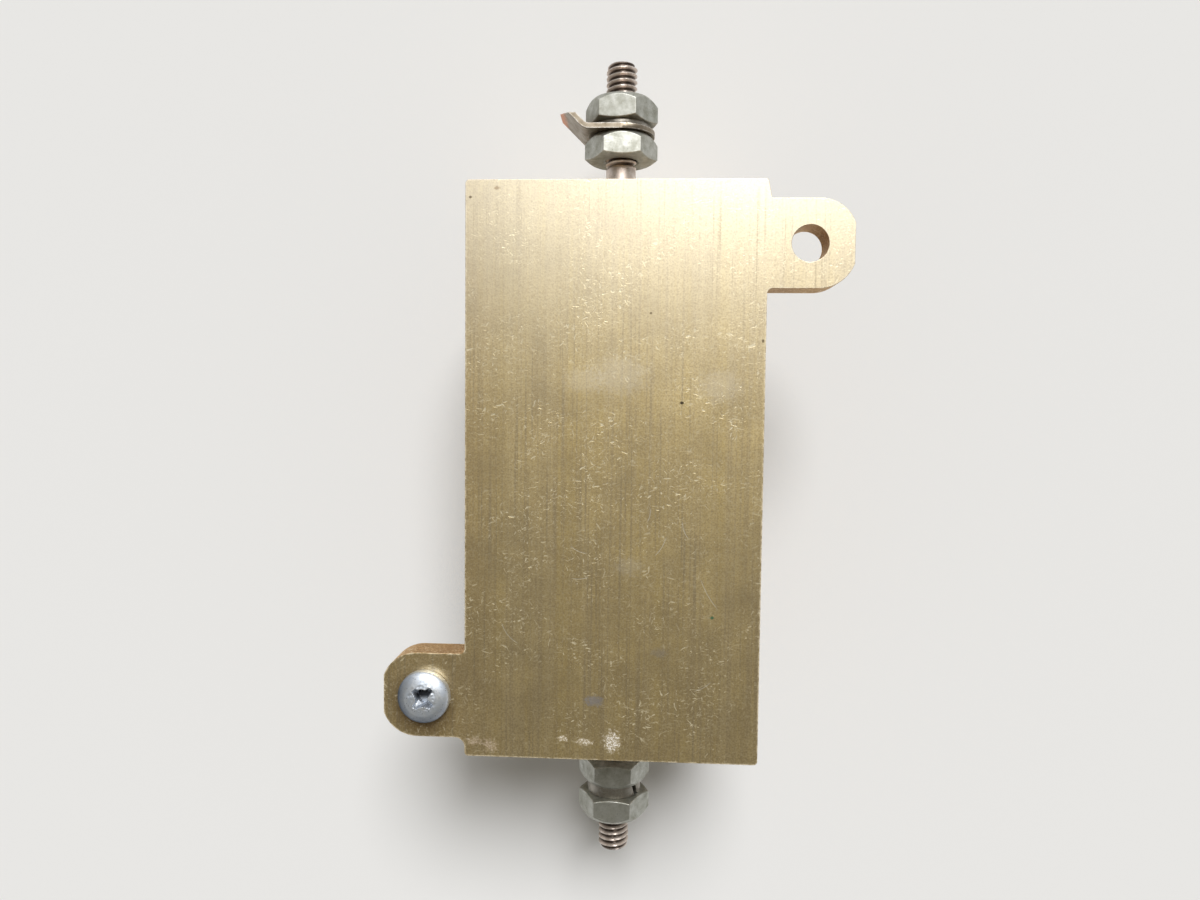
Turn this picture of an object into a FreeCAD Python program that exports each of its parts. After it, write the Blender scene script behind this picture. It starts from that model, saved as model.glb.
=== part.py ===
import FreeCAD, Part
import math
import os
import Sketcher

# Aluminium housed power resistor with finned sides and threaded terminals.
# It lies on the flat side that carries the fins, with its base face up.
# X runs across the body, Y runs along the terminals and Z is up.

# Driving dimensions, in millimetres and degrees.
dimensions = {
    # Housing: the extruded section and its length.
    "housing_length": 88.9,
    "housing_height": 44.45,
    "base_width": 45.5,
    "base_thickness": 5.4,
    "body_corner_radius": 0.6,
    "tube_radius": 17.0,
    "bore_radius": 13.2,
    "foot_half_width": 17.4,
    "foot_thickness": 3.4,
    "foot_corner_radius": 1.2,
    "web_half_width": 10.0,
    "fin_count": 5,
    "fin_thickness": 2.3,
    "first_fin_half_width": 22.4,
    "fin_narrowing": 0.75,
    # Mounting ears at two opposite corners of the base.
    "ear_reach": 12.81,
    "ear_hole_to_tip": 6.59,
    "ear_hole_inset": 9.52,
    "ear_width": 13.3,
    "ear_corner_radius": 5.6,
    "ear_corner_run": 5.25,
    "inner_root_fillet": 0.8,
    "outer_root_fillet": 1.5,
    "outer_root_wedge": 0.45,
    "ear_hole_radius": 2.75,
    # Resistance element inside the bore.
    "core_length": 64.0,
    "core_radius": 9.0,
    "cap_wall": 0.8,
    "cap_floor": 1.2,
    "cap_skirt": 6.0,
    "wire_thickness": 0.5,
    "winding_end_gap": 1.0,
    "assembly_clearance": 0.05,
    # Moulded end seals, set back from the ends of the bore.
    "seal_recess": 0.6,
    # Threaded terminals.
    "stud_reach": 69.75,
    "stud_radius": 2.7,
    "stud_neck_radius": 2.6,
    "stud_thread_start": 51.6,
    "stud_end_chamfer": 0.5,
    # Terminal nuts, washers and the tag.
    "nut_across_flats": 11.11,
    "nut_hole_clearance": 0.05,
    "nut_thickness": 4.2,
    "outer_nut_thickness": 4.4,
    "nut_crown_radius": 5.05,
    "nut_crown_depth": 1.35,
    "top_nut_start": 53.2,
    "bottom_nut_start": 52.9,
    "top_inner_nut_turn": 3.3,
    "top_outer_nut_turn": -6.1,
    "bottom_inner_nut_turn": 0.7,
    "bottom_outer_nut_turn": 2.0,
    "tag_thickness": 0.85,
    "tag_half_width": 5.85,
    "tag_bend_start": 5.2,
    "tag_bend_radius": 1.6,
    "tag_bend_angle": 45.0,
    "tag_rise_back": 5.7,
    "tag_rise_front": 2.7,
    "tag_tip_share": 0.6,
    "spring_washer_radius": 5.1,
    "spring_washer_thickness": 1.05,
    "lock_washer_radius": 4.8,
    "lock_washer_thickness": 2.0,
    "washer_hole_clearance": 0.2,
    "washer_gap": 0.9,
    "washer_gap_slant": 20.0,
    "spring_washer_turn": -75.0,
    "lock_washer_turn": 36.0,
    # Screw left in one ear, with the washer and nut behind the ear.
    "screw_head_radius": 4.08,
    "screw_head_height": 2.5,
    "screw_head_side": 1.1,
    "screw_shoulder_radius": 3.15,
    "screw_shoulder_height": 2.05,
    "screw_radius": 2.08,
    "screw_length": 12.7,
    "recess_half_length": 2.1,
    "recess_half_width": 0.5,
    "recess_depth": 1.5,
    "recess_taper": -12.0,
    "recess_turn": 26.0,
    "screw_washer_radius": 3.8,
    "screw_washer_thickness": 1.0,
    "screw_nut_across_flats": 8.73,
    "screw_nut_thickness": 3.2,
    "screw_nut_crown_radius": 4.1,
    "screw_nut_crown_depth": 0.5,
}

doc = FreeCAD.newDocument("power_resistor")
sizes = doc.addObject("Spreadsheet::Sheet", "sizes")
for row, (alias, value) in enumerate(dimensions.items(), start=1):
    sizes.set("A%d" % row, alias)
    sizes.set("B%d" % row, str(value))
    sizes.setAlias("B%d" % row, alias)
doc.recompute()


def number(alias):
    """Value of one driving dimension."""
    return float(sizes.get(alias))


def bind(thing, prop, expression):
    """Tie a property to the sheet, with each alias written as <alias>."""
    thing.setExpression(prop, expression.replace("<", "sizes.").replace(">", ""))


def new_body(label):
    body = doc.addObject("PartDesign::Body", label)
    body.Label = label
    return body


def plane(body, role):
    """Origin plane or axis of a body, found by its role."""
    found = [item for item in body.Origin.OriginFeatures if item.Role == role]
    return found[0]


def new_sketch(body, role, label, lift=None):
    """Sketch on an origin plane, lifted along its normal where one is given."""
    sketch = body.newObject("Sketcher::SketchObject", label)
    sketch.AttachmentSupport = (plane(body, role), [""])
    sketch.MapMode = "FlatFace"
    if lift:
        bind(sketch, "AttachmentOffset.Base.z", lift)
    return sketch


def pin_point(sketch, curve, end, across, along):
    """Fix one end of a curve at two distances from the sketch's origin."""
    x = evaluate(across)
    y = evaluate(along)
    here = sketch.addConstraint(Sketcher.Constraint("DistanceX", -1, 1, curve, end, x))
    bind(sketch, "Constraints[%d]" % here, across)
    here = sketch.addConstraint(Sketcher.Constraint("DistanceY", -1, 1, curve, end, y))
    bind(sketch, "Constraints[%d]" % here, along)


def evaluate(expression):
    """Number that an expression in the sheet's values has now."""
    holder = doc.addObject("App::FeaturePython", "holder")
    holder.addProperty("App::PropertyFloat", "Answer")
    bind(holder, "Answer", expression)
    holder.recompute()
    answer = holder.Answer
    doc.removeObject(holder.Name)
    return answer


def outline(sketch, corners):
    """Closed straight outline whose corners follow the sheet."""
    first = sketch.GeometryCount
    spots = [FreeCAD.Vector(evaluate(x), evaluate(y), 0) for x, y in corners]
    count = len(spots)
    for index in range(count):
        sketch.addGeometry(Part.LineSegment(spots[index], spots[(index + 1) % count]))
    for index in range(count):
        following = first + (index + 1) % count
        sketch.addConstraint(Sketcher.Constraint("Coincident", first + index, 2, following, 1))
    for index in range(count):
        spot = spots[index]
        curve = first + index
        here = sketch.addConstraint(Sketcher.Constraint("DistanceX", -1, 1, curve, 1, spot.x))
        bind(sketch, "Constraints[%d]" % here, corners[index][0])
        here = sketch.addConstraint(Sketcher.Constraint("DistanceY", -1, 1, curve, 1, spot.y))
        bind(sketch, "Constraints[%d]" % here, corners[index][1])


def circle(sketch, radius, across="0", along="0"):
    """Circle whose radius and centre follow the sheet."""
    centre = FreeCAD.Vector(evaluate(across), evaluate(along), 0)
    curve = sketch.addGeometry(Part.Circle(centre, FreeCAD.Vector(0, 0, 1), evaluate(radius)))
    here = sketch.addConstraint(Sketcher.Constraint("Radius", curve, evaluate(radius)))
    bind(sketch, "Constraints[%d]" % here, radius)
    here = sketch.addConstraint(Sketcher.Constraint("DistanceX", -1, 1, curve, 3, centre.x))
    bind(sketch, "Constraints[%d]" % here, across)
    here = sketch.addConstraint(Sketcher.Constraint("DistanceY", -1, 1, curve, 3, centre.y))
    bind(sketch, "Constraints[%d]" % here, along)


def pad(body, sketch, label, length, both_ways=False, reverse=False):
    feature = body.newObject("PartDesign::Pad", label)
    feature.Profile = sketch
    if both_ways:
        feature.SideType = "Symmetric"
    feature.Reversed = reverse
    bind(feature, "Length", length)
    sketch.Visibility = False
    body.Tip = feature
    doc.recompute()
    return feature


def pocket(body, sketch, label, length, both_ways=False, reverse=False):
    feature = body.newObject("PartDesign::Pocket", label)
    feature.Profile = sketch
    if both_ways:
        feature.SideType = "Symmetric"
    feature.Reversed = reverse
    bind(feature, "Length", length)
    sketch.Visibility = False
    body.Tip = feature
    doc.recompute()
    return feature


def turned(body, kind, sketch, label, axis="V_Axis"):
    """Revolution or Groove of a sketch all the way round one of its axes."""
    feature = body.newObject("PartDesign::" + kind, label)
    feature.Profile = sketch
    feature.ReferenceAxis = (sketch, [axis])
    feature.Angle = 360
    sketch.Visibility = False
    body.Tip = feature
    doc.recompute()
    return feature


def half_turn(body, feature, label):
    """Second copy of a feature, half a turn round the vertical axis."""
    pattern = body.newObject("PartDesign::PolarPattern", label)
    pattern.Originals = [feature]
    pattern.Axis = (plane(body, "Z_Axis"), [""])
    pattern.Angle = 360
    pattern.Occurrences = 2
    body.Tip = pattern
    doc.recompute()
    return pattern


def edges_where(feature, test):
    """Names of the edges of a feature that pass a test."""
    names = []
    for index, edge in enumerate(feature.Shape.Edges):
        if test(edge):
            names.append("Edge%d" % (index + 1))
    return names


def rounded(body, feature, names, label, radius):
    fillet = body.newObject("PartDesign::Fillet", label)
    fillet.Base = (feature, names)
    bind(fillet, "Radius", radius)
    body.Tip = fillet
    doc.recompute()
    return fillet


def is_straight(edge, direction):
    """True for a straight edge along a direction."""
    if edge.Curve.TypeId != "Part::GeomLine":
        return False
    run = edge.Vertexes[1].Point - edge.Vertexes[0].Point
    return run.getAngle(direction) < 0.001 or run.getAngle(-direction) < 0.001


# The bore and the terminals share one axis, and the base slab is the top of the section.
axis_height = "(<housing_height>/2)"
slab_under = "(<housing_height>-<base_thickness>)"

# Housing section: base slab, central tube, web, foot and fins in one extrusion.
housing = new_body("housing")
slab_sketch = new_sketch(housing, "XZ_Plane", "slab_sketch")
outline(slab_sketch, [
    ("-<base_width>/2", slab_under),
    ("<base_width>/2", slab_under),
    ("<base_width>/2", "<housing_height>"),
    ("-<base_width>/2", "<housing_height>"),
])
slab = pad(housing, slab_sketch, "slab", "<housing_length>", both_ways=True)

# The body's four upright corners are broken before the ears are added.
upright = FreeCAD.Vector(0, 0, 1)
slab_corners = edges_where(slab, lambda edge: is_straight(edge, upright))
slab_rounded = rounded(housing, slab, slab_corners, "slab_corners", "<body_corner_radius>")

tube_sketch = new_sketch(housing, "XZ_Plane", "tube_sketch")
circle(tube_sketch, "<tube_radius>", "0", axis_height)
tube = pad(housing, tube_sketch, "tube", "<housing_length>", both_ways=True)

web_sketch = new_sketch(housing, "XZ_Plane", "web_sketch")
outline(web_sketch, [
    ("-<web_half_width>", "0"),
    ("<web_half_width>", "0"),
    ("<web_half_width>", "<housing_height>"),
    ("-<web_half_width>", "<housing_height>"),
])
web = pad(housing, web_sketch, "web", "<housing_length>", both_ways=True)

foot_sketch = new_sketch(housing, "XZ_Plane", "foot_sketch")
outline(foot_sketch, [
    ("-<foot_half_width>", "0"),
    ("<foot_half_width>", "0"),
    ("<foot_half_width>", "<foot_thickness>"),
    ("-<foot_half_width>", "<foot_thickness>"),
])
foot = pad(housing, foot_sketch, "foot", "<housing_length>", both_ways=True)

# Round-edged fins, evenly spread from slab to foot and narrower towards the foot.
fin_sketch = new_sketch(housing, "XZ_Plane", "fin_sketch")
fin_total = int(number("fin_count"))
half_fin = "<fin_thickness>/2"
fin_pitch = "(%s-<foot_thickness>)/(<fin_count>+1)" % slab_under
for fin in range(fin_total):
    level = "(%s-%d*%s)" % (slab_under, fin + 1, fin_pitch)
    reach = "(<first_fin_half_width>-%d*<fin_narrowing>-%s)" % (fin, half_fin)
    z = evaluate(level)
    x = evaluate(reach)
    h = evaluate(half_fin)
    top_line = fin_sketch.addGeometry(
        Part.LineSegment(FreeCAD.Vector(-x, z + h, 0), FreeCAD.Vector(x, z + h, 0)))
    right_end = fin_sketch.addGeometry(
        Part.ArcOfCircle(
            Part.Circle(FreeCAD.Vector(x, z, 0), FreeCAD.Vector(0, 0, 1), h),
            -math.pi / 2, math.pi / 2))
    low_line = fin_sketch.addGeometry(
        Part.LineSegment(FreeCAD.Vector(x, z - h, 0), FreeCAD.Vector(-x, z - h, 0)))
    left_end = fin_sketch.addGeometry(
        Part.ArcOfCircle(
            Part.Circle(FreeCAD.Vector(-x, z, 0), FreeCAD.Vector(0, 0, 1), h),
            math.pi / 2, 3 * math.pi / 2))
    fin_sketch.addConstraint(Sketcher.Constraint("Tangent", top_line, 2, right_end, 2))
    fin_sketch.addConstraint(Sketcher.Constraint("Tangent", right_end, 1, low_line, 1))
    fin_sketch.addConstraint(Sketcher.Constraint("Tangent", low_line, 2, left_end, 2))
    fin_sketch.addConstraint(Sketcher.Constraint("Tangent", left_end, 1, top_line, 1))
    fin_sketch.addConstraint(Sketcher.Constraint("Horizontal", top_line))
    row = fin_sketch.addConstraint(Sketcher.Constraint("Radius", right_end, h))
    bind(fin_sketch, "Constraints[%d]" % row, half_fin)
    row = fin_sketch.addConstraint(Sketcher.Constraint("DistanceX", -1, 1, right_end, 3, x))
    bind(fin_sketch, "Constraints[%d]" % row, reach)
    row = fin_sketch.addConstraint(Sketcher.Constraint("DistanceX", -1, 1, left_end, 3, -x))
    bind(fin_sketch, "Constraints[%d]" % row, "-" + reach)
    row = fin_sketch.addConstraint(Sketcher.Constraint("DistanceY", -1, 1, right_end, 3, z))
    bind(fin_sketch, "Constraints[%d]" % row, level)
fins = pad(housing, fin_sketch, "fins", "<housing_length>", both_ways=True)

# The foot's lower corners are rounded along the whole extrusion.
lengthwise = FreeCAD.Vector(0, 1, 0)
foot_edges = edges_where(
    fins, lambda edge: is_straight(edge, lengthwise) and abs(edge.Vertexes[0].Z) < 0.001)
foot_rounded = rounded(housing, fins, foot_edges, "foot_corners", "<foot_corner_radius>")

# One ear with two round corners and a flat tip, then its twin.
ear_sketch = new_sketch(housing, "XY_Plane", "ear_sketch", slab_under)
half_ear = "<ear_width>/2"
ear_end = "(<base_width>/2+<ear_reach>)"
hole_x = "(<base_width>/2+<ear_reach>-<ear_hole_to_tip>)"
hole_y = "(<housing_length>/2-<ear_hole_inset>)"
corner_x = "(<base_width>/2+<ear_reach>-<ear_corner_run>)"
corner_drop = "(<ear_width>/2-<ear_corner_radius>)"
low_corner_y = "(%s-%s)" % (hole_y, corner_drop)
high_corner_y = "(%s+%s)" % (hole_y, corner_drop)
root_x = "<base_width>/4"
corner_radius = evaluate("<ear_corner_radius>")
corner_run = evaluate("<ear_corner_run>")
rise = math.sqrt(corner_radius ** 2 - corner_run ** 2)
inside = evaluate(root_x)
flat = evaluate(ear_end)
low_y = evaluate(hole_y + "-" + half_ear)
high_y = evaluate(hole_y + "+" + half_ear)
low_centre = FreeCAD.Vector(evaluate(corner_x), evaluate(low_corner_y), 0)
high_centre = FreeCAD.Vector(evaluate(corner_x), evaluate(high_corner_y), 0)
turn_left = math.atan2(rise, corner_run)
low_side = ear_sketch.addGeometry(
    Part.LineSegment(FreeCAD.Vector(inside, low_y, 0), FreeCAD.Vector(low_centre.x, low_y, 0)))
low_arc = ear_sketch.addGeometry(
    Part.ArcOfCircle(
        Part.Circle(low_centre, upright, corner_radius), -math.pi / 2, -turn_left))
tip_flat = ear_sketch.addGeometry(
    Part.LineSegment(
        FreeCAD.Vector(flat, low_centre.y - rise, 0),
        FreeCAD.Vector(flat, high_centre.y + rise, 0)))
high_arc = ear_sketch.addGeometry(
    Part.ArcOfCircle(
        Part.Circle(high_centre, upright, corner_radius), turn_left, math.pi / 2))
high_side = ear_sketch.addGeometry(
    Part.LineSegment(FreeCAD.Vector(high_centre.x, high_y, 0), FreeCAD.Vector(inside, high_y, 0)))
root_side = ear_sketch.addGeometry(
    Part.LineSegment(FreeCAD.Vector(inside, high_y, 0), FreeCAD.Vector(inside, low_y, 0)))
ear_sketch.addConstraint(Sketcher.Constraint("Tangent", low_side, 2, low_arc, 1))
ear_sketch.addConstraint(Sketcher.Constraint("Coincident", low_arc, 2, tip_flat, 1))
ear_sketch.addConstraint(Sketcher.Constraint("Coincident", tip_flat, 2, high_arc, 1))
ear_sketch.addConstraint(Sketcher.Constraint("Tangent", high_arc, 2, high_side, 1))
ear_sketch.addConstraint(Sketcher.Constraint("Coincident", high_side, 2, root_side, 1))
ear_sketch.addConstraint(Sketcher.Constraint("Coincident", root_side, 2, low_side, 1))
ear_sketch.addConstraint(Sketcher.Constraint("Horizontal", low_side))
ear_sketch.addConstraint(Sketcher.Constraint("Horizontal", high_side))
ear_sketch.addConstraint(Sketcher.Constraint("Vertical", tip_flat))
ear_sketch.addConstraint(Sketcher.Constraint("Vertical", root_side))
pin_point(ear_sketch, low_arc, 3, corner_x, low_corner_y)
pin_point(ear_sketch, high_arc, 3, corner_x, high_corner_y)
row = ear_sketch.addConstraint(Sketcher.Constraint("Radius", low_arc, corner_radius))
bind(ear_sketch, "Constraints[%d]" % row, "<ear_corner_radius>")
row = ear_sketch.addConstraint(Sketcher.Constraint("Radius", high_arc, corner_radius))
bind(ear_sketch, "Constraints[%d]" % row, "<ear_corner_radius>")
row = ear_sketch.addConstraint(Sketcher.Constraint("DistanceX", -1, 1, tip_flat, 1, flat))
bind(ear_sketch, "Constraints[%d]" % row, ear_end)
row = ear_sketch.addConstraint(Sketcher.Constraint("DistanceX", -1, 1, root_side, 1, inside))
bind(ear_sketch, "Constraints[%d]" % row, root_x)
ear = pad(housing, ear_sketch, "ear", "<base_thickness>")
ears = half_turn(housing, ear, "ears")

# The free ear's outer root is a sharp corner under a slightly leaning side.
wedge_sketch = new_sketch(housing, "XY_Plane", "root_wedge_sketch", slab_under)
outline(wedge_sketch, [
    (root_x, hole_y),
    ("<base_width>/2+<outer_root_wedge>", hole_y),
    ("<base_width>/2+<outer_root_wedge>", hole_y + "+" + half_ear),
    ("<base_width>/2", "<housing_length>/2-<body_corner_radius>"),
    (root_x, "<housing_length>/2-<body_corner_radius>"),
])
wedge = pad(housing, wedge_sketch, "root_wedge", "<base_thickness>")

# The other roots are filleted, the screwed ear's outer one with a larger radius.
body_side = number("base_width") / 2


def root_edge(feature, side, line):
    """Names of the upright edge where an ear leaves the body; side is 1 or -1 along X."""
    return edges_where(
        feature, lambda edge: is_straight(edge, upright)
        and abs(edge.Vertexes[0].X - side * body_side) < 0.01
        and abs(edge.Vertexes[0].Y - line) < 0.01)


inner_roots = root_edge(wedge, 1, low_y) + root_edge(wedge, -1, -low_y)
inner_rounded = rounded(housing, wedge, inner_roots, "inner_roots", "<inner_root_fillet>")
outer_root = root_edge(inner_rounded, -1, -high_y)
ears_rounded = rounded(housing, inner_rounded, outer_root, "outer_root", "<outer_root_fillet>")

hole_sketch = new_sketch(housing, "XY_Plane", "ear_hole_sketch", "<housing_height>")
circle(hole_sketch, "<ear_hole_radius>", hole_x, hole_y)
ear_hole = pocket(housing, hole_sketch, "ear_hole", "<base_thickness>")
ear_holes = half_turn(housing, ear_hole, "ear_holes")

bore_sketch = new_sketch(housing, "XZ_Plane", "bore_sketch")
circle(bore_sketch, "<bore_radius>", "0", axis_height)
bore = pocket(housing, bore_sketch, "bore", "<housing_length>", both_ways=True)

# Ceramic rod that carries the winding.
core = new_body("ceramic_core")
core_sketch = new_sketch(core, "XY_Plane", "core_sketch")
half_core = "<core_length>/2"
outline(core_sketch, [
    ("0", "-" + half_core),
    ("<core_radius>", "-" + half_core),
    ("<core_radius>", half_core),
    ("0", half_core),
])
turned(core, "Revolution", core_sketch, "core_turned")
bind(core, "Placement.Base.z", axis_height)

# Resistance wire in one close layer on the core, between the two caps.
winding = new_body("resistance_winding")
winding_sketch = new_sketch(winding, "XY_Plane", "winding_sketch")
winding_end = "(<core_length>/2-<cap_skirt>-<winding_end_gap>)"
wire_in = "<core_radius>+<assembly_clearance>"
wire_out = "<core_radius>+<assembly_clearance>+<wire_thickness>"
outline(winding_sketch, [
    (wire_in, "-" + winding_end),
    (wire_out, "-" + winding_end),
    (wire_out, winding_end),
    (wire_in, winding_end),
])
turned(winding, "Revolution", winding_sketch, "winding_turned")
bind(winding, "Placement.Base.z", axis_height)


def end_cap(label, side):
    """Metal cup pressed on one end of the core; side is 1 at the top terminal."""
    body = new_body(label)
    sketch = new_sketch(body, "XY_Plane", label + "_sketch")
    inner = "(<core_radius>+<assembly_clearance>)"
    outer = "(<core_radius>+<assembly_clearance>+<cap_wall>)"
    outline(sketch, [
        ("0", "0"),
        (outer, "0"),
        (outer, "-<cap_floor>-<cap_skirt>"),
        (inner, "-<cap_floor>-<cap_skirt>"),
        (inner, "-<cap_floor>"),
        ("0", "-<cap_floor>"),
    ])
    turned(body, "Revolution", sketch, label + "_turned")
    place_on_axis(body, side, "<core_length>/2+<cap_floor>")
    return body


def place_on_axis(body, side, distance):
    """Move a body made along Y to its place along the terminals."""
    turn = 0 if side > 0 else 180
    body.Placement.Rotation = FreeCAD.Rotation(FreeCAD.Vector(0, 0, 1), turn)
    sign = "" if side > 0 else "-1*"
    bind(body, "Placement.Base.y", "%s(%s)" % (sign, distance))
    bind(body, "Placement.Base.z", axis_height)


cap_top = end_cap("end_cap_top", 1)
cap_bottom = end_cap("end_cap_bottom", -1)

# Moulded filling between the capped core and the bore, as long as the capped core.
potting = new_body("potting")
potting_sketch = new_sketch(potting, "XY_Plane", "potting_sketch")
fill_radius = "(<bore_radius>-<assembly_clearance>)"
cavity_radius = "(<core_radius>+<cap_wall>+2*<assembly_clearance>)"
fill_end = "(<core_length>/2+<cap_floor>)"
outline(potting_sketch, [
    (cavity_radius, "-" + fill_end),
    (fill_radius, "-" + fill_end),
    (fill_radius, fill_end),
    (cavity_radius, fill_end),
])
turned(potting, "Revolution", potting_sketch, "potting_turned")
bind(potting, "Placement.Base.z", axis_height)
doc.recompute()


def end_seal(label, side):
    """Insulating plug between the end cap and the mouth of the bore, round the terminal."""
    body = new_body(label)
    sketch = new_sketch(body, "XY_Plane", label + "_sketch")
    neck_hole = "(<stud_neck_radius>+<assembly_clearance>)"
    seal_thickness = "<housing_length>/2-<seal_recess>-" + fill_end
    outline(sketch, [
        (neck_hole, "0"),
        (fill_radius, "0"),
        (fill_radius, seal_thickness),
        (neck_hole, seal_thickness),
    ])
    turned(body, "Revolution", sketch, label + "_turned")
    place_on_axis(body, side, fill_end)
    return body


seal_top = end_seal("end_seal_top", 1)
seal_bottom = end_seal("end_seal_bottom", -1)


def terminal_stud(label, side):
    """Terminal welded to the end cap, with a smooth neck and a threaded end."""
    body = new_body(label)
    sketch = new_sketch(body, "XY_Plane", label + "_sketch")
    outline(sketch, [
        ("0", "0"),
        ("<stud_neck_radius>", "0"),
        ("<stud_neck_radius>", "<stud_thread_start>-" + fill_end),
        ("<stud_radius>", "<stud_thread_start>-" + fill_end),
        ("<stud_radius>", "<stud_reach>-<stud_end_chamfer>-" + fill_end),
        ("<stud_radius>-<stud_end_chamfer>", "<stud_reach>-" + fill_end),
        ("0", "<stud_reach>-" + fill_end),
    ])
    turned(body, "Revolution", sketch, label + "_turned")
    place_on_axis(body, side, fill_end)
    return body


stud_top = terminal_stud("terminal_stud_top", 1)
stud_bottom = terminal_stud("terminal_stud_bottom", -1)


def hexagon_nut(label, flats, hole, thickness, crown_radius, crown_depth):
    """Nut along Z with its flat seat at the bottom and its crown chamfered."""
    body = new_body(label)
    plan = new_sketch(body, "XY_Plane", label + "_plan")
    corner = "(%s)/sqrt(3)" % flats
    outline(plan, [
        (corner, "0"),
        (corner + "/2", "(%s)/2" % flats),
        ("-" + corner + "/2", "(%s)/2" % flats),
        ("-" + corner, "0"),
        ("-" + corner + "/2", "-(%s)/2" % flats),
        (corner + "/2", "-(%s)/2" % flats),
    ])
    circle(plan, hole)
    pad(body, plan, label + "_block", thickness)
    corners = new_sketch(body, "XZ_Plane", label + "_corners")
    outline(corners, [
        (crown_radius, thickness),
        (corner + "+1", "%s-(%s+1-%s)*%s/(%s-%s)" % (
            thickness, corner, crown_radius, crown_depth, corner, crown_radius)),
        (corner + "+1", thickness + "+1"),
        (crown_radius, thickness + "+1"),
    ])
    turned(body, "Groove", corners, label + "_crown")
    return body


def stand_on_axis(body, side, distance, turn="0"):
    """Place a body made along Z on a terminal, flat side to the base face."""
    lean = -90 if side > 0 else 90
    face = 0 if side > 0 else 180
    tilt = FreeCAD.Rotation(FreeCAD.Vector(1, 0, 0), lean)
    spin = FreeCAD.Rotation(FreeCAD.Vector(0, 0, 1), face + evaluate(turn))
    body.Placement.Rotation = tilt.multiply(spin)
    sign = "" if side > 0 else "-1*"
    bind(body, "Placement.Base.y", "%s(%s)" % (sign, distance))
    bind(body, "Placement.Base.z", axis_height)


nut_hole = "(<stud_radius>+<nut_hole_clearance>)"


def terminal_nut(label, thickness):
    return hexagon_nut(
        label, "<nut_across_flats>", nut_hole, thickness,
        "<nut_crown_radius>", "<nut_crown_depth>")


# Stack on the top terminal: nut, tag, thin washer, nut.
inner_nut_top = terminal_nut("inner_nut_top", "<nut_thickness>")
stand_on_axis(inner_nut_top, 1, "<top_nut_start>", "<top_inner_nut_turn>")
tag_seat = "<top_nut_start>+<nut_thickness>"
spring_seat = tag_seat + "+<tag_thickness>"
top_outer_seat = spring_seat + "+<spring_washer_thickness>"
outer_nut_top = terminal_nut("outer_nut_top", "<outer_nut_thickness>")
stand_on_axis(outer_nut_top, 1, top_outer_seat, "<top_outer_nut_turn>")

# Stack on the bottom terminal: nut, split washer, nut.
inner_nut_bottom = terminal_nut("inner_nut_bottom", "<nut_thickness>")
stand_on_axis(inner_nut_bottom, -1, "<bottom_nut_start>", "<bottom_inner_nut_turn>")
lock_seat = "<bottom_nut_start>+<nut_thickness>"
bottom_outer_seat = lock_seat + "+<lock_washer_thickness>"
outer_nut_bottom = terminal_nut("outer_nut_bottom", "<outer_nut_thickness>")
stand_on_axis(outer_nut_bottom, -1, bottom_outer_seat, "<bottom_outer_nut_turn>")


def plain_washer(label, outer, hole, thickness):
    """Flat ring along Z."""
    body = new_body(label)
    plan = new_sketch(body, "XY_Plane", label + "_plan")
    circle(plan, outer)
    circle(plan, hole)
    pad(body, plan, label + "_ring", thickness)
    return body


def split_washer(label, outer, hole, thickness):
    """Spring washer along Z with its slanted split on the -X side."""
    body = plain_washer(label, outer, hole, thickness)
    cut = new_sketch(body, "YZ_Plane", label + "_cut")
    lean = "tan(<washer_gap_slant>)*(%s)/2" % thickness
    outline(cut, [
        ("-<washer_gap>/2-" + lean, "0"),
        ("<washer_gap>/2-" + lean, "0"),
        ("<washer_gap>/2+" + lean, thickness),
        ("-<washer_gap>/2+" + lean, thickness),
    ])
    pocket(body, cut, label + "_split", outer + "+1")
    return body


spring_washer = split_washer(
    "spring_washer_top", "<spring_washer_radius>",
    "(<stud_radius>+<washer_hole_clearance>)", "<spring_washer_thickness>")
stand_on_axis(spring_washer, 1, spring_seat, "<spring_washer_turn>")
lock_washer = split_washer(
    "lock_washer_bottom", "<lock_washer_radius>",
    "(<stud_radius>+<washer_hole_clearance>)", "<lock_washer_thickness>")
stand_on_axis(lock_washer, -1, lock_seat, "<lock_washer_turn>")

# Tag: a round-ended strip with its free end bent up and cut off on a slant.
tag = new_body("terminal_lug")
ring_sketch = new_sketch(tag, "XZ_Plane", "tag_plan")
half_strip = "<tag_half_width>"
outline(ring_sketch, [
    ("-<tag_bend_start>", "-" + half_strip),
    ("0", "-" + half_strip),
    ("0", half_strip),
    ("-<tag_bend_start>", half_strip),
])
strip = pad(tag, ring_sketch, "tag_strip", "<tag_thickness>", reverse=True)
round_sketch = new_sketch(tag, "XZ_Plane", "tag_round_plan")
circle(round_sketch, half_strip)
round_end = pad(tag, round_sketch, "tag_round", "<tag_thickness>", reverse=True)

# The bend and the free end are one side profile, padded across the strip.
side_sketch = new_sketch(tag, "XY_Plane", "tag_side")
turn_to = "<tag_bend_angle>"
low_radius = "(<tag_bend_radius>+<tag_thickness>)"
high_radius = "<tag_bend_radius>"
middle_x = "-<tag_bend_start>"
middle_y = "<tag_thickness>+<tag_bend_radius>"
low_end_x = "%s-%s*sin(%s)" % (middle_x, low_radius, turn_to)
low_end_y = "%s-%s*cos(%s)" % (middle_y, low_radius, turn_to)
high_end_x = "%s-%s*sin(%s)" % (middle_x, high_radius, turn_to)
high_end_y = "%s-%s*cos(%s)" % (middle_y, high_radius, turn_to)
rise_x = "<tag_rise_back>*cos(%s)" % turn_to
rise_y = "<tag_rise_back>*sin(%s)" % turn_to
bend_centre = FreeCAD.Vector(evaluate(middle_x), evaluate(middle_y), 0)
low_end = FreeCAD.Vector(evaluate(low_end_x), evaluate(low_end_y), 0)
high_end = FreeCAD.Vector(evaluate(high_end_x), evaluate(high_end_y), 0)
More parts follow.
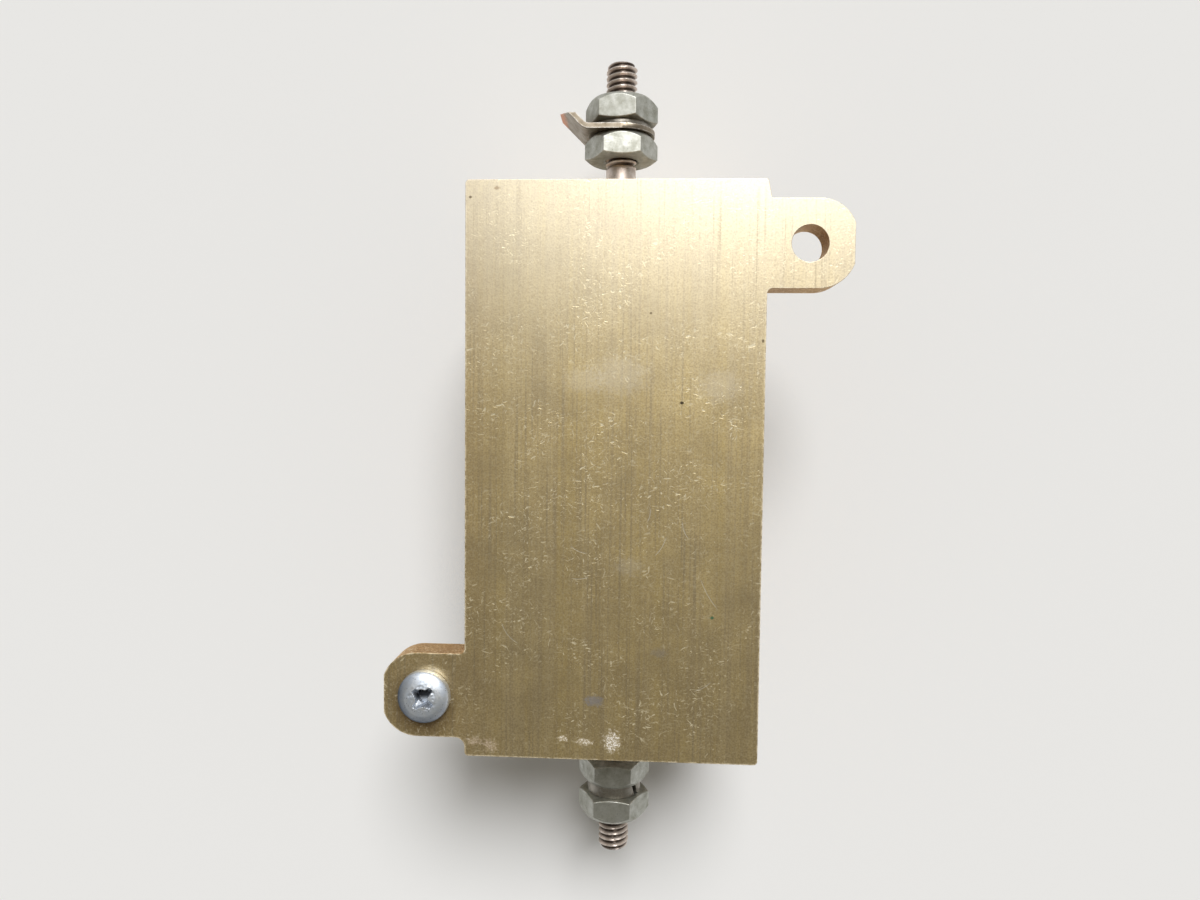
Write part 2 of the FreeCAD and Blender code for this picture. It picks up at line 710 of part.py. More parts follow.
rise_by = FreeCAD.Vector(-evaluate(rise_x), evaluate(rise_y), 0)
start_angle = -math.pi / 2 - math.radians(evaluate(turn_to))
low_curve = side_sketch.addGeometry(
    Part.ArcOfCircle(
        Part.Circle(bend_centre, upright, evaluate(low_radius)), start_angle, -math.pi / 2))
high_curve = side_sketch.addGeometry(
    Part.ArcOfCircle(
        Part.Circle(bend_centre, upright, evaluate(high_radius)), start_angle, -math.pi / 2))
foot_low = bend_centre - FreeCAD.Vector(0, evaluate(low_radius), 0)
foot_high = bend_centre - FreeCAD.Vector(0, evaluate(high_radius), 0)
joint_line = side_sketch.addGeometry(Part.LineSegment(foot_low, foot_high))
low_line = side_sketch.addGeometry(Part.LineSegment(low_end, low_end + rise_by))
high_line = side_sketch.addGeometry(Part.LineSegment(high_end, high_end + rise_by))
end_line = side_sketch.addGeometry(Part.LineSegment(low_end + rise_by, high_end + rise_by))
side_sketch.addConstraint(Sketcher.Constraint("Coincident", low_curve, 2, joint_line, 1))
side_sketch.addConstraint(Sketcher.Constraint("Coincident", high_curve, 2, joint_line, 2))
side_sketch.addConstraint(Sketcher.Constraint("Coincident", low_curve, 1, low_line, 1))
side_sketch.addConstraint(Sketcher.Constraint("Coincident", high_curve, 1, high_line, 1))
side_sketch.addConstraint(Sketcher.Constraint("Coincident", low_line, 2, end_line, 1))
side_sketch.addConstraint(Sketcher.Constraint("Coincident", high_line, 2, end_line, 2))
pin_point(side_sketch, low_curve, 3, middle_x, middle_y)
pin_point(side_sketch, high_curve, 3, middle_x, middle_y)
pin_point(side_sketch, joint_line, 1, middle_x, "0")
pin_point(side_sketch, joint_line, 2, middle_x, "<tag_thickness>")
row = side_sketch.addConstraint(Sketcher.Constraint("DistanceX", -1, 1, low_line, 1, low_end.x))
bind(side_sketch, "Constraints[%d]" % row, low_end_x)
row = side_sketch.addConstraint(Sketcher.Constraint("DistanceX", -1, 1, high_line, 1, high_end.x))
bind(side_sketch, "Constraints[%d]" % row, high_end_x)
pin_point(side_sketch, low_line, 2, low_end_x + "-" + rise_x, low_end_y + "+" + rise_y)
pin_point(side_sketch, high_line, 2, high_end_x + "-" + rise_x, high_end_y + "+" + rise_y)
free_end = pad(tag, side_sketch, "tag_free_end", "2*" + half_strip, both_ways=True)

eye_sketch = new_sketch(tag, "XZ_Plane", "tag_eye_plan")
circle(eye_sketch, "<stud_radius>+<washer_hole_clearance>")
eye = pocket(tag, eye_sketch, "tag_eye", "2*<tag_thickness>", both_ways=True)

# The slanted cut takes the corner of the free end nearest the base face.
slant_sketch = new_sketch(tag, "YZ_Plane", "tag_slant_plan")
short_y = "%s+<tag_rise_front>*sin(%s)" % (low_end_y, turn_to)
long_y = "%s+%s" % (high_end_y, rise_y)
outline(slant_sketch, [
    (short_y, half_strip + "+1"),
    (short_y, half_strip),
    (long_y, "-" + half_strip + "*<tag_tip_share>"),
    (long_y + "+2", "-" + half_strip + "*<tag_tip_share>"),
    (long_y + "+2", half_strip + "+1"),
])
slant = pocket(tag, slant_sketch, "tag_slant", "<tag_bend_start>+<tag_rise_back>+9")
bind(tag, "Placement.Base.y", tag_seat)
bind(tag, "Placement.Base.z", axis_height)
doc.recompute()

# Pan head screw with a cross recess, its crown turned in two slopes.
screw = new_body("ear_screw")
screw_sketch = new_sketch(screw, "XZ_Plane", "ear_screw_profile")
head_h = "<screw_head_height>"
outline(screw_sketch, [
    ("0", head_h),
    ("0", "-<screw_length>"),
    ("<screw_radius>", "-<screw_length>"),
    ("<screw_radius>", "0"),
    ("<screw_head_radius>", "0"),
    ("<screw_head_radius>", "<screw_head_side>"),
    ("<screw_shoulder_radius>", "<screw_shoulder_height>"),
])
turned(screw, "Revolution", screw_sketch, "ear_screw_turned")

arm = "<recess_half_length>"
slot = "<recess_half_width>"
recess_sketch = new_sketch(screw, "XY_Plane", "ear_screw_recess_plan", head_h)
outline(recess_sketch, [
    (arm, "-" + slot), (arm, slot), (slot, slot), (slot, arm),
    ("-" + slot, arm), ("-" + slot, slot), ("-" + arm, slot), ("-" + arm, "-" + slot),
    ("-" + slot, "-" + slot), ("-" + slot, "-" + arm), (slot, "-" + arm), (slot, "-" + slot),
])
recess = pocket(screw, recess_sketch, "ear_screw_recess", "<recess_depth>")
bind(recess, "TaperAngle", "<recess_taper>")
doc.recompute()


def hang_on_ear(body, height, flip=False, turn="0"):
    """Place a body made along Z on the axis of the hole that holds the screw."""
    tilt = FreeCAD.Rotation(FreeCAD.Vector(1, 0, 0), 180 if flip else 0)
    spin = FreeCAD.Rotation(FreeCAD.Vector(0, 0, 1), evaluate(turn))
    body.Placement.Rotation = tilt.multiply(spin)
    bind(body, "Placement.Base.x", "-" + hole_x)
    bind(body, "Placement.Base.y", "-1*" + hole_y)
    bind(body, "Placement.Base.z", height)


hang_on_ear(screw, "<housing_height>", False, "<recess_turn>")
screw_washer = plain_washer(
    "ear_screw_washer", "<screw_washer_radius>",
    "(<screw_radius>+<washer_hole_clearance>)", "<screw_washer_thickness>")
hang_on_ear(screw_washer, slab_under, True, "0")
screw_nut = hexagon_nut(
    "ear_screw_nut", "<screw_nut_across_flats>",
    "(<screw_radius>+<nut_hole_clearance>)", "<screw_nut_thickness>",
    "<screw_nut_crown_radius>", "<screw_nut_crown_depth>")
hang_on_ear(screw_nut, slab_under + "-<screw_washer_thickness>", True, "0")
doc.recompute()

# Every object must be sound before its solid is written.
for item in doc.Objects:
    if "Invalid" in item.State or "Error" in item.State:
        raise RuntimeError("%s is not sound: %s" % (item.Label, item.State))
os.makedirs("parts", exist_ok=True)
for item in doc.Objects:
    if item.TypeId != "PartDesign::Body":
        continue
    if item.Shape.isNull() or not item.Shape.isValid():
        raise RuntimeError("%s has no valid shape" % item.Label)
    item.Shape.exportStep("parts/" + item.Label + ".step")
    box = item.Shape.BoundBox
    print("%-20s solids %d volume %10.2f  x %7.2f %7.2f  y %7.2f %7.2f  z %7.2f %7.2f" % (
        item.Label, len(item.Shape.Solids), item.Shape.Volume,
        box.XMin, box.XMax, box.YMin, box.YMax, box.ZMin, box.ZMax))
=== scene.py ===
# %% [markdown]
# # An aluminium housed power resistor, dressed for a photograph
#
# The solids come from the CAD model, which is loaded as a fixed frame. Everything here is in metres and in
# that frame: the flat base of the housing looks up, at z = 0.04445, and the two terminals lie along y.
# The frame decides where a piece goes, so this script only decides how each piece looks.

import math

import bmesh
import bpy
from mathutils import Matrix, Vector, noise


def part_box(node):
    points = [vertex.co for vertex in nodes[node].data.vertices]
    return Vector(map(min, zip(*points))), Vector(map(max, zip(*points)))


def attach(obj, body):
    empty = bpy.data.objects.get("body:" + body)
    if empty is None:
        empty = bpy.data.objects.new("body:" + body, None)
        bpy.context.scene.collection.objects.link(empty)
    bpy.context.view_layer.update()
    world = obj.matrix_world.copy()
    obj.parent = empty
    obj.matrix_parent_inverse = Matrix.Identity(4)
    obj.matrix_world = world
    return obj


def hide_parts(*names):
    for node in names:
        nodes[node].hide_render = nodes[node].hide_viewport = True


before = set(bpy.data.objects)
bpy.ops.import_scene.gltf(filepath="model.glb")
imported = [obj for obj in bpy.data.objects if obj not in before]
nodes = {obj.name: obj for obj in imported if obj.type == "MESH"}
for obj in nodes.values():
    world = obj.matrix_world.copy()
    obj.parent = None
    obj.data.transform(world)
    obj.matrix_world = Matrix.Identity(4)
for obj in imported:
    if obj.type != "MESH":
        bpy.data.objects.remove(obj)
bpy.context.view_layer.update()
base_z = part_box("housing")[1].z
MM = 0.001
print("solids in the frame:", len(nodes))

# %% [markdown]
# The camera stands almost straight above the part, 125 mm over the base, as in the photograph. Being so near
# it sees the end walls and the nuts in strong perspective, which a long lens from far away would lose. Its
# place was worked out from the corners, ears and terminal ends, so it is written here as numbers.

# %% The camera above the part
camera_data = bpy.data.cameras.new("camera")
camera_data.sensor_fit = "HORIZONTAL"
camera_data.sensor_width = 36.0
camera_data.lens = 24.736
camera_data.clip_start = 0.005
camera_data.clip_end = 20.0
camera = bpy.data.objects.new("camera", camera_data)
bpy.context.scene.collection.objects.link(camera)
camera.location = (0.0049356, 0.0104678, 0.1695989)
camera.rotation_euler = [math.radians(a) for a in (-3.00923, 3.18508, 0.60420)]
bpy.context.scene.camera = camera
print("camera height over the base, mm:", round((camera.location.z - base_z) / MM, 1))

# %% [markdown]
# Satin metal shows the light rather than a colour of its own, so the lamps come before the materials. One
# wide soft lamp stands high beyond the top terminal and a little to the right. The flat base mirrors it at
# its far end and not at its near end, which gives the glow at the top that fades to a dark gold at the
# bottom. A sun lamp with a wide disc does this without growing weaker over the floor.

# %% The key lamp
key_direction = Vector((0.17, 0.80, 1.0)).normalized()
key_data = bpy.data.lights.new("key_lamp", "SUN")
key_data.energy = 3.25
key_data.angle = math.radians(26.0)
key_lamp = bpy.data.objects.new("key_lamp", key_data)
bpy.context.scene.collection.objects.link(key_lamp)
key_lamp.location = key_direction * 0.8
key_lamp.rotation_euler = key_direction.to_track_quat("Z", "Y").to_euler()
bpy.context.scene.view_settings.view_transform = "Standard"
print("key lamp from the vertical, degrees:", round(math.degrees(key_direction.angle(Vector((0, 0, 1)))), 1))

# %% [markdown]
# The world gives the even rest of the light. It is pale near the horizon, like the walls of a light tent, so
# side faces and nuts have something to mirror, and dimmer overhead, so the base keeps its depth.

# %% The world
world = bpy.data.worlds.new("studio")
bpy.context.scene.world = world
world.use_nodes = True
sky = world.node_tree
sky_direction = sky.nodes.new("ShaderNodeTexCoord").outputs["Generated"]
sky_parts = sky.nodes.new("ShaderNodeSeparateXYZ")
sky.links.new(sky_direction, sky_parts.inputs[0])
sky_ramp = sky.nodes.new("ShaderNodeValToRGB")
sky.links.new(sky_parts.outputs[2], sky_ramp.inputs[0])
sky_ramp.color_ramp.interpolation = "EASE"
sky_ramp.color_ramp.elements[0].position = 0.02
sky_ramp.color_ramp.elements[0].color = (0.78, 0.79, 0.80, 1.0)
sky_ramp.color_ramp.elements[1].position = 0.50
sky_ramp.color_ramp.elements[1].color = (0.190, 0.178, 0.148, 1.0)
sky.links.new(sky_ramp.outputs[0], sky.nodes["Background"].inputs["Color"])
print("world: pale at the horizon, dim overhead")

# %% [markdown]
# Materials are node trees, and typing each link by hand would hide what they do. Four small helpers are
# enough: one makes a node and fills or links its inputs, and three cover sums, ranges and mixes.

# %% Helpers that write node trees
def add_node(tree, kind, inputs=None, **settings):
    """Makes a node; inputs maps a socket's name or number to a value or to another node's output."""
    node = tree.nodes.new(kind)
    for name, value in settings.items():
        setattr(node, name, value)
    for key, value in (inputs or {}).items():
        socket = node.inputs[key]
        if isinstance(value, bpy.types.NodeSocket):
            tree.links.new(value, socket)
        else:
            socket.default_value = value
    return node


def calc(tree, operation, a, b=0.0, c=0.0, clamp=False):
    """One Math node; gives its output."""
    node = add_node(tree, "ShaderNodeMath", {0: a, 1: b, 2: c}, operation=operation)
    node.use_clamp = clamp
    return node.outputs[0]


def ramp(tree, value, low, high, to_low=0.0, to_high=1.0, smooth=False):
    """Value from low to high becomes to_low to to_high, and stops there."""
    node = add_node(
        tree,
        "ShaderNodeMapRange",
        {"Value": value, "From Min": low, "From Max": high, "To Min": to_low, "To Max": to_high},
        clamp=True,
        interpolation_type="SMOOTHSTEP" if smooth else "LINEAR",
    )
    return node.outputs["Result"]


def blend(tree, share, a, b, kind="MIX"):
    """Mixes colour b over colour a by share."""
    node = add_node(tree, "ShaderNodeMix", {0: share, 6: a, 7: b}, data_type="RGBA", blend_type=kind)
    return node.outputs[2]


def rgb(red, green, blue):
    """A colour as a socket wants it."""
    return (red, green, blue, 1.0)


print("node helpers ready")

# %% [markdown]
# Wear, scratches and grain are the same effect on every metal here, only finer or coarser. Each is built once
# as a node group with named inputs and used in many materials with its own values. A group gives masks and
# heights only; the shader stays in the material.

# %% A helper that makes a node group
def new_group(name, inputs, outputs):
    """An empty shader node group. Inputs are (name, kind, value), outputs are (name, kind)."""
    tree = bpy.data.node_groups.new(name, "ShaderNodeTree")
    kinds = {"vector": "NodeSocketVector", "value": "NodeSocketFloat", "colour": "NodeSocketColor"}
    for title, kind, value in inputs:
        socket = tree.interface.new_socket(name=title, in_out="INPUT", socket_type=kinds[kind])
        if value is not None:
            socket.default_value = value
    for title, kind in outputs:
        tree.interface.new_socket(name=title, in_out="OUTPUT", socket_type=kinds[kind])
    return tree, tree.nodes.new("NodeGroupInput").outputs, tree.nodes.new("NodeGroupOutput").inputs


def use_group(tree, group, inputs):
    """Places a group in a tree and gives its outputs."""
    node = tree.nodes.new("ShaderNodeGroup")
    node.node_tree = group
    for key, value in inputs.items():
        socket = node.inputs[key]
        if isinstance(value, bpy.types.NodeSocket):
            tree.links.new(value, socket)
        else:
            socket.default_value = value
    return node.outputs


print("group helper ready")

# %% [markdown]
# Short random scratches are what years in a box of parts leave on a soft metal. Drawing each one would be
# slow, so noise is stretched into long thin islands, turned to several directions, and only its narrow peaks
# are kept. Squeeze sets how long they are and Cut how rare. A slow second noise breaks them into patches.

# %% Group: random scratches
def build_scratches():
    tree, given, result = new_group(
        "random_scratches",
        [("Place", "vector", None), ("Size", "value", 1900.0), ("Squeeze", "value", 0.12),
         ("Cut", "value", 0.70), ("Amount", "value", 0.5)],
        [("Mask", "value")],
    )
    patches = add_node(
        tree, "ShaderNodeTexNoise", {"Vector": given["Place"], "Scale": 130.0, "Detail": 3.0}
    ).outputs[0]
    squeezed = add_node(tree, "ShaderNodeCombineXYZ", {0: 1.0, 1: given["Squeeze"], 2: 1.0}).outputs[0]
    cut_end = calc(tree, "ADD", given["Cut"], 0.05)
    total = None
    for turn, seed in ((17.0, 1.3), (62.0, 4.1), (81.0, 6.6), (104.0, 7.7), (149.0, 11.9)):
        turned = add_node(
            tree,
            "ShaderNodeMapping",
            {
                "Vector": given["Place"],
                "Location": (seed, seed * 0.37, 0.0),
                "Rotation": (0.0, 0.0, math.radians(turn)),
            },
        ).outputs[0]
        stretched = add_node(
            tree, "ShaderNodeVectorMath", {0: turned, 1: squeezed}, operation="MULTIPLY"
        ).outputs[0]
        grain = add_node(
            tree,
            "ShaderNodeTexNoise",
            {"Vector": stretched, "Scale": given["Size"], "Detail": 1.0, "Distortion": 0.55},
        ).outputs[0]
        line = ramp(tree, grain, given["Cut"], cut_end)
        total = line if total is None else calc(tree, "MAXIMUM", total, line)
    patchy = ramp(tree, patches, 0.34, 0.66, 0.12, 1.0, smooth=True)
    shown = calc(tree, "MULTIPLY", total, patchy)
    tree.links.new(calc(tree, "MULTIPLY", shown, given["Amount"], clamp=True), result["Mask"])
    return tree


random_scratches = build_scratches()
print("group:", random_scratches.name)

# %% [markdown]
# Worn edges could be painted by hand, but the Bevel node finds them on any shape: near a corner the rounded
# normal it gives leans away from the true one. Noise eats into that rim so the wear is not a neat line.

# %% Group: worn edges
def build_edge_wear():
    tree, given, result = new_group(
        "worn_edges",
        [("Place", "vector", None), ("Width", "value", 0.0003), ("Noise Size", "value", 1500.0),
         ("Amount", "value", 1.0)],
        [("Mask", "value")],
    )
    rounded = add_node(tree, "ShaderNodeBevel", {"Radius": given["Width"]}, samples=6).outputs[0]
    true = add_node(tree, "ShaderNodeNewGeometry").outputs["Normal"]
    agree = add_node(tree, "ShaderNodeVectorMath", {0: rounded, 1: true}, operation="DOT_PRODUCT").outputs["Value"]
    lean = ramp(tree, calc(tree, "SUBTRACT", 1.0, agree), 0.01, 0.12)
    bites = add_node(
        tree, "ShaderNodeTexNoise", {"Vector": given["Place"], "Scale": given["Noise Size"], "Detail": 4.0}
    ).outputs[0]
    rough_rim = calc(tree, "MULTIPLY", lean, ramp(tree, bites, 0.36, 0.56))
    tree.links.new(calc(tree, "MULTIPLY", rough_rim, given["Amount"], clamp=True), result["Mask"])
    return tree


worn_edges = build_edge_wear()
print("group:", worn_edges.name)

# %% [markdown]
# Grain and mottling tell an eye that a surface is real: a fine grain for the skin of plating or anodising,
# a slow one for stains and handling. One group gives both, so each metal needs a single node for them.

# %% Group: grain and mottling
def build_grain():
    tree, given, result = new_group(
        "grain_and_mottle",
        [("Place", "vector", None), ("Grain Size", "value", 9000.0), ("Mottle Size", "value", 260.0),
         ("Speck Size", "value", 2600.0)],
        [("Grain", "value"), ("Mottle", "value"), ("Specks", "value")],
    )
    grain = add_node(
        tree, "ShaderNodeTexNoise", {"Vector": given["Place"], "Scale": given["Grain Size"], "Detail": 3.0}
    ).outputs[0]
    mottle = add_node(
        tree,
        "ShaderNodeTexNoise",
        {"Vector": given["Place"], "Scale": given["Mottle Size"], "Detail": 5.0, "Roughness": 0.62},
    ).outputs[0]
    cells = add_node(
        tree, "ShaderNodeTexVoronoi", {"Vector": given["Place"], "Scale": given["Speck Size"]}, feature="F1"
    )
    dot = ramp(tree, cells.outputs["Distance"], 0.16, 0.30, 1.0, 0.0)
    chance = add_node(tree, "ShaderNodeSeparateColor", {0: cells.outputs["Color"]}).outputs[0]
    few = calc(tree, "GREATER_THAN", chance, 0.72)
    tree.links.new(grain, result["Grain"])
    tree.links.new(ramp(tree, mottle, 0.30, 0.70), result["Mottle"])
    tree.links.new(calc(tree, "MULTIPLY", dot, few), result["Specks"])
    return tree


grain_and_mottle = build_grain()
print("group:", grain_and_mottle.name)

# %% [markdown]
# A few marks on the base are too plain to leave to chance: a pit, some stains, rubbed places near the lower
# edge, a painted shadow below the ear screw's head and a handful of curved scratches. Two small groups draw
# them at a place given in metres: a soft spot with a ragged rim, and a piece of a thin ring.

# %% Groups: a placed spot and a placed curved scratch
def build_spot():
    tree, given, result = new_group(
        "placed_spot",
        [("Place", "vector", None), ("Centre", "vector", None), ("Half Width", "value", 0.001),
         ("Half Height", "value", 0.001), ("Ragged", "value", 0.4), ("Speckle", "value", 0.0)],
        [("Mask", "value")],
    )
    apart = add_node(
        tree, "ShaderNodeVectorMath", {0: given["Place"], 1: given["Centre"]}, operation="SUBTRACT"
    ).outputs[0]
    parts = add_node(tree, "ShaderNodeSeparateXYZ", {0: apart}).outputs
    across = calc(tree, "DIVIDE", parts[0], given["Half Width"])
    along = calc(tree, "DIVIDE", parts[1], given["Half Height"])
    squares = calc(tree, "ADD", calc(tree, "MULTIPLY", across, across), calc(tree, "MULTIPLY", along, along))
    reach = calc(tree, "SQRT", squares)
    rag = add_node(tree, "ShaderNodeTexNoise", {"Vector": given["Place"], "Scale": 2600.0, "Detail": 4.0}).outputs[0]
    push = calc(tree, "MULTIPLY", calc(tree, "SUBTRACT", rag, 0.5), calc(tree, "MULTIPLY", given["Ragged"], 4.0))
    whole = ramp(tree, calc(tree, "ADD", reach, push), 0.55, 1.15, 1.0, 0.0)
    fine = add_node(tree, "ShaderNodeTexNoise", {"Vector": given["Place"], "Scale": 4300.0, "Detail": 2.0}).outputs[0]
    gaps = calc(tree, "MULTIPLY", ramp(tree, fine, 0.46, 0.58, 1.0, 0.0), given["Speckle"])
    tree.links.new(calc(tree, "MULTIPLY", whole, calc(tree, "SUBTRACT", 1.0, gaps)), result["Mask"])
    return tree


def build_arc():
    tree, given, result = new_group(
        "placed_scratch",
        [("Place", "vector", None), ("Centre", "vector", None), ("Middle", "vector", None),
         ("Bend", "value", 0.004), ("Half Length", "value", 0.0016), ("Width", "value", 0.00007)],
        [("Mask", "value")],
    )
    flat = add_node(
        tree, "ShaderNodeVectorMath", {0: given["Place"], 1: (1.0, 1.0, 0.0)}, operation="MULTIPLY"
    ).outputs[0]
    radius = add_node(
        tree, "ShaderNodeVectorMath", {0: flat, 1: given["Centre"]}, operation="DISTANCE"
    ).outputs["Value"]
    off = calc(tree, "ABSOLUTE", calc(tree, "SUBTRACT", radius, given["Bend"]))
    line = calc(tree, "SUBTRACT", 1.0, calc(tree, "DIVIDE", off, given["Width"]), clamp=True)
    run = add_node(
        tree, "ShaderNodeVectorMath", {0: flat, 1: given["Middle"]}, operation="DISTANCE"
    ).outputs["Value"]
    ends = calc(tree, "SUBTRACT", 1.0, calc(tree, "DIVIDE", run, given["Half Length"]), clamp=True)
    tree.links.new(calc(tree, "MULTIPLY", line, ramp(tree, ends, 0.0, 0.3)), result["Mask"])
    return tree


placed_spot = build_spot()
placed_scratch = build_arc()
print("groups:", placed_spot.name, placed_scratch.name)

# %% [markdown]
# Every metal in this part starts the same way: a Principled shader with Metallic at 1, read in Object
# coordinates so a pattern stays with its piece. This helper makes that start.

# %% A helper that starts a material
def start_material(name, metallic, roughness, colour):
    """Gives the material, its tree, its Principled node and the object coordinates."""
    material = bpy.data.materials.new(name)
    material.use_nodes = True
    tree = material.node_tree
    shader = tree.nodes["Principled BSDF"]
    shader.inputs["Metallic"].default_value = metallic
    shader.inputs["Roughness"].default_value = roughness
    shader.inputs["Base Color"].default_value = rgb(*colour)
    material.diffuse_color = rgb(*colour)
    place = tree.nodes.new("ShaderNodeTexCoord").outputs["Object"]
    return material, tree, shader, place


def bump(tree, shader, height, distance, strength=1.0):
    """Sends a height, 0 to 1 times distance in metres, to the shader's normal."""
    node = add_node(tree, "ShaderNodeBump", {"Height": height, "Distance": distance, "Strength": strength})
    tree.links.new(node.outputs["Normal"], shader.inputs["Normal"])


print("material helper ready")

# %% [markdown]
# The housing is extruded aluminium with a pale gold anodised skin. The skin is a metal with a thin clear
# layer over it, so it gets Metallic 1 and a little coat. Extrusion leaves fine lines along y, handling leaves
# scratches, and the skin is browner on the walls and worn to bare metal along the edges. The pale edge tone
# is partly that wear and partly a painted highlight along the rounded edges.

# %% The gold skin: tone, lines and grain
gold, gold_tree, gold_shader, gold_place = start_material("gold_anodised_skin", 1.0, 0.50, (0.60, 0.45, 0.22))
gold_shader.inputs["Coat IOR"].default_value = 2.6
gold_shader.inputs["Coat Roughness"].default_value = 0.36

gold_grain = use_group(
    gold_tree,
    grain_and_mottle,
    {"Place": gold_place, "Grain Size": 3900.0, "Mottle Size": 150.0, "Speck Size": 1900.0},
)
along_lines = add_node(
    gold_tree, "ShaderNodeVectorMath", {0: gold_place, 1: (1.0, 0.012, 1.0)}, operation="MULTIPLY"
).outputs[0]
fine_lines = add_node(
    gold_tree, "ShaderNodeTexNoise", {"Vector": along_lines, "Scale": 3000.0, "Detail": 3.0}
).outputs[0]
broad_lines = add_node(
    gold_tree, "ShaderNodeTexNoise", {"Vector": along_lines, "Scale": 620.0, "Detail": 3.0}
).outputs[0]
gold_tone = blend(gold_tree, gold_grain["Mottle"], rgb(0.560, 0.400, 0.125), rgb(0.650, 0.480, 0.155))
gold_tone = blend(
    gold_tree, ramp(gold_tree, broad_lines, 0.38, 0.62, 0.0, 0.40), gold_tone, rgb(0.690, 0.540, 0.270)
)
gold_tone = blend(
    gold_tree, ramp(gold_tree, fine_lines, 0.38, 0.62, 0.0, 0.46), gold_tone, rgb(0.430, 0.310, 0.135)
)
print("skin tone of", len(gold_tree.nodes), "nodes so far")

# %% [markdown]
# The base face is cleaner than the walls. The world normal's z part tells them apart: 1 on the base, 0 on a
# wall. Position tells the rest: the left rim of the base has kept a yellower skin, towards the top terminal
# the skin is painted paler as a painted highlight of the lamp's glare, which also thins the dark grain there,
# and the walls of the base slab are browner and rougher than the fins.

# %% The gold skin: walls, rims, painted glare and random wear
facing = add_node(gold_tree, "ShaderNodeNewGeometry").outputs["Normal"]
facing_parts = add_node(gold_tree, "ShaderNodeSeparateXYZ", {0: facing}).outputs
upward = ramp(gold_tree, facing_parts[2], 0.55, 0.95, smooth=True)
gold_parts = add_node(gold_tree, "ShaderNodeSeparateXYZ", {0: gold_place}).outputs
left_rim = ramp(gold_tree, gold_parts[0], -0.0235, -0.0150, 1.0, 0.0, smooth=True)
gold_tone = blend(
    gold_tree, calc(gold_tree, "MULTIPLY", left_rim, 0.35), gold_tone, rgb(0.560, 0.370, 0.110)
)
# Painted highlight: the base is painted paler towards the top terminal, where it mirrors the key lamp's glare.
painted_top_glare = ramp(gold_tree, gold_parts[1], 0.004, 0.046, 0.0, 0.55, smooth=True)
gold_tone = blend(gold_tree, painted_top_glare, gold_tone, rgb(0.790, 0.745, 0.640))
line_patches = add_node(gold_tree, "ShaderNodeTexNoise", {"Vector": gold_place, "Scale": 75.0, "Detail": 2.0}).outputs[0]
drawn_lines = calc(
    gold_tree, "MULTIPLY", ramp(gold_tree, fine_lines, 0.57, 0.66), ramp(gold_tree, line_patches, 0.40, 0.62, 0.0, 0.55)
)
gold_tone = blend(gold_tree, drawn_lines, gold_tone, rgb(0.340, 0.255, 0.115))
wall_tone = blend(gold_tree, gold_grain["Mottle"], rgb(0.460, 0.315, 0.125), rgb(0.570, 0.410, 0.185))
slab_tone = blend(gold_tree, gold_grain["Mottle"], rgb(0.400, 0.215, 0.085), rgb(0.580, 0.350, 0.150))
on_slab = ramp(gold_tree, gold_parts[2], 0.0370, 0.0400, smooth=True)
wall_tone = blend(gold_tree, on_slab, wall_tone, slab_tone)
gold_tone = blend(
    gold_tree, calc(gold_tree, "SUBTRACT", 1.0, upward), gold_tone, wall_tone
)
slab_wall = calc(gold_tree, "MULTIPLY", on_slab, calc(gold_tree, "SUBTRACT", 1.0, upward))
grain_share = calc(gold_tree, "MAXIMUM", ramp(gold_tree, upward, 0.0, 1.0, 0.28, 1.0), calc(gold_tree, "MULTIPLY", slab_wall, 1.1))
dark_grain = calc(gold_tree, "MULTIPLY", ramp(gold_tree, gold_grain["Grain"], 0.50, 0.68, 0.0, 0.60), grain_share)
# The painted glare also thins the dark grain towards the top terminal.
dark_grain = calc(gold_tree, "MULTIPLY", dark_grain, calc(gold_tree, "SUBTRACT", 1.0, calc(gold_tree, "MULTIPLY", painted_top_glare, 1.1)))
light_grain = calc(gold_tree, "MULTIPLY", ramp(gold_tree, gold_grain["Grain"], 0.34, 0.50, 0.36, 0.0), grain_share)
gold_tone = blend(gold_tree, dark_grain, gold_tone, rgb(0.310, 0.215, 0.085))
gold_tone = blend(gold_tree, light_grain, gold_tone, rgb(0.900, 0.760, 0.450))
# Pale edges: partly wear to bare metal, partly a painted highlight along the rounded edges.
gold_edge_wear_and_highlight = use_group(
    gold_tree, worn_edges, {"Place": gold_place, "Width": 0.00050, "Noise Size": 1300.0, "Amount": 1.0}
)["Mask"]
gold_scratches = use_group(
    gold_tree, random_scratches,
    {"Place": gold_place, "Size": 2500.0, "Squeeze": 0.34, "Cut": 0.705, "Amount": 1.0},
)["Mask"]
fine_scratches = use_group(
    gold_tree, random_scratches,
    {"Place": gold_place, "Size": 3600.0, "Squeeze": 0.20, "Cut": 0.68, "Amount": 0.50},
)["Mask"]
all_scratches = calc(gold_tree, "MAXIMUM", gold_scratches, fine_scratches)
gold_tone = blend(gold_tree, all_scratches, gold_tone, rgb(1.000, 0.880, 0.600))
gold_tone = blend(gold_tree, gold_edge_wear_and_highlight, gold_tone, rgb(1.000, 0.880, 0.640))
gold_tone = blend(
    gold_tree, calc(gold_tree, "MULTIPLY", gold_grain["Specks"], 0.15), gold_tone, rgb(0.280, 0.200, 0.100)
)
print("with wear:", len(gold_tree.nodes), "nodes")
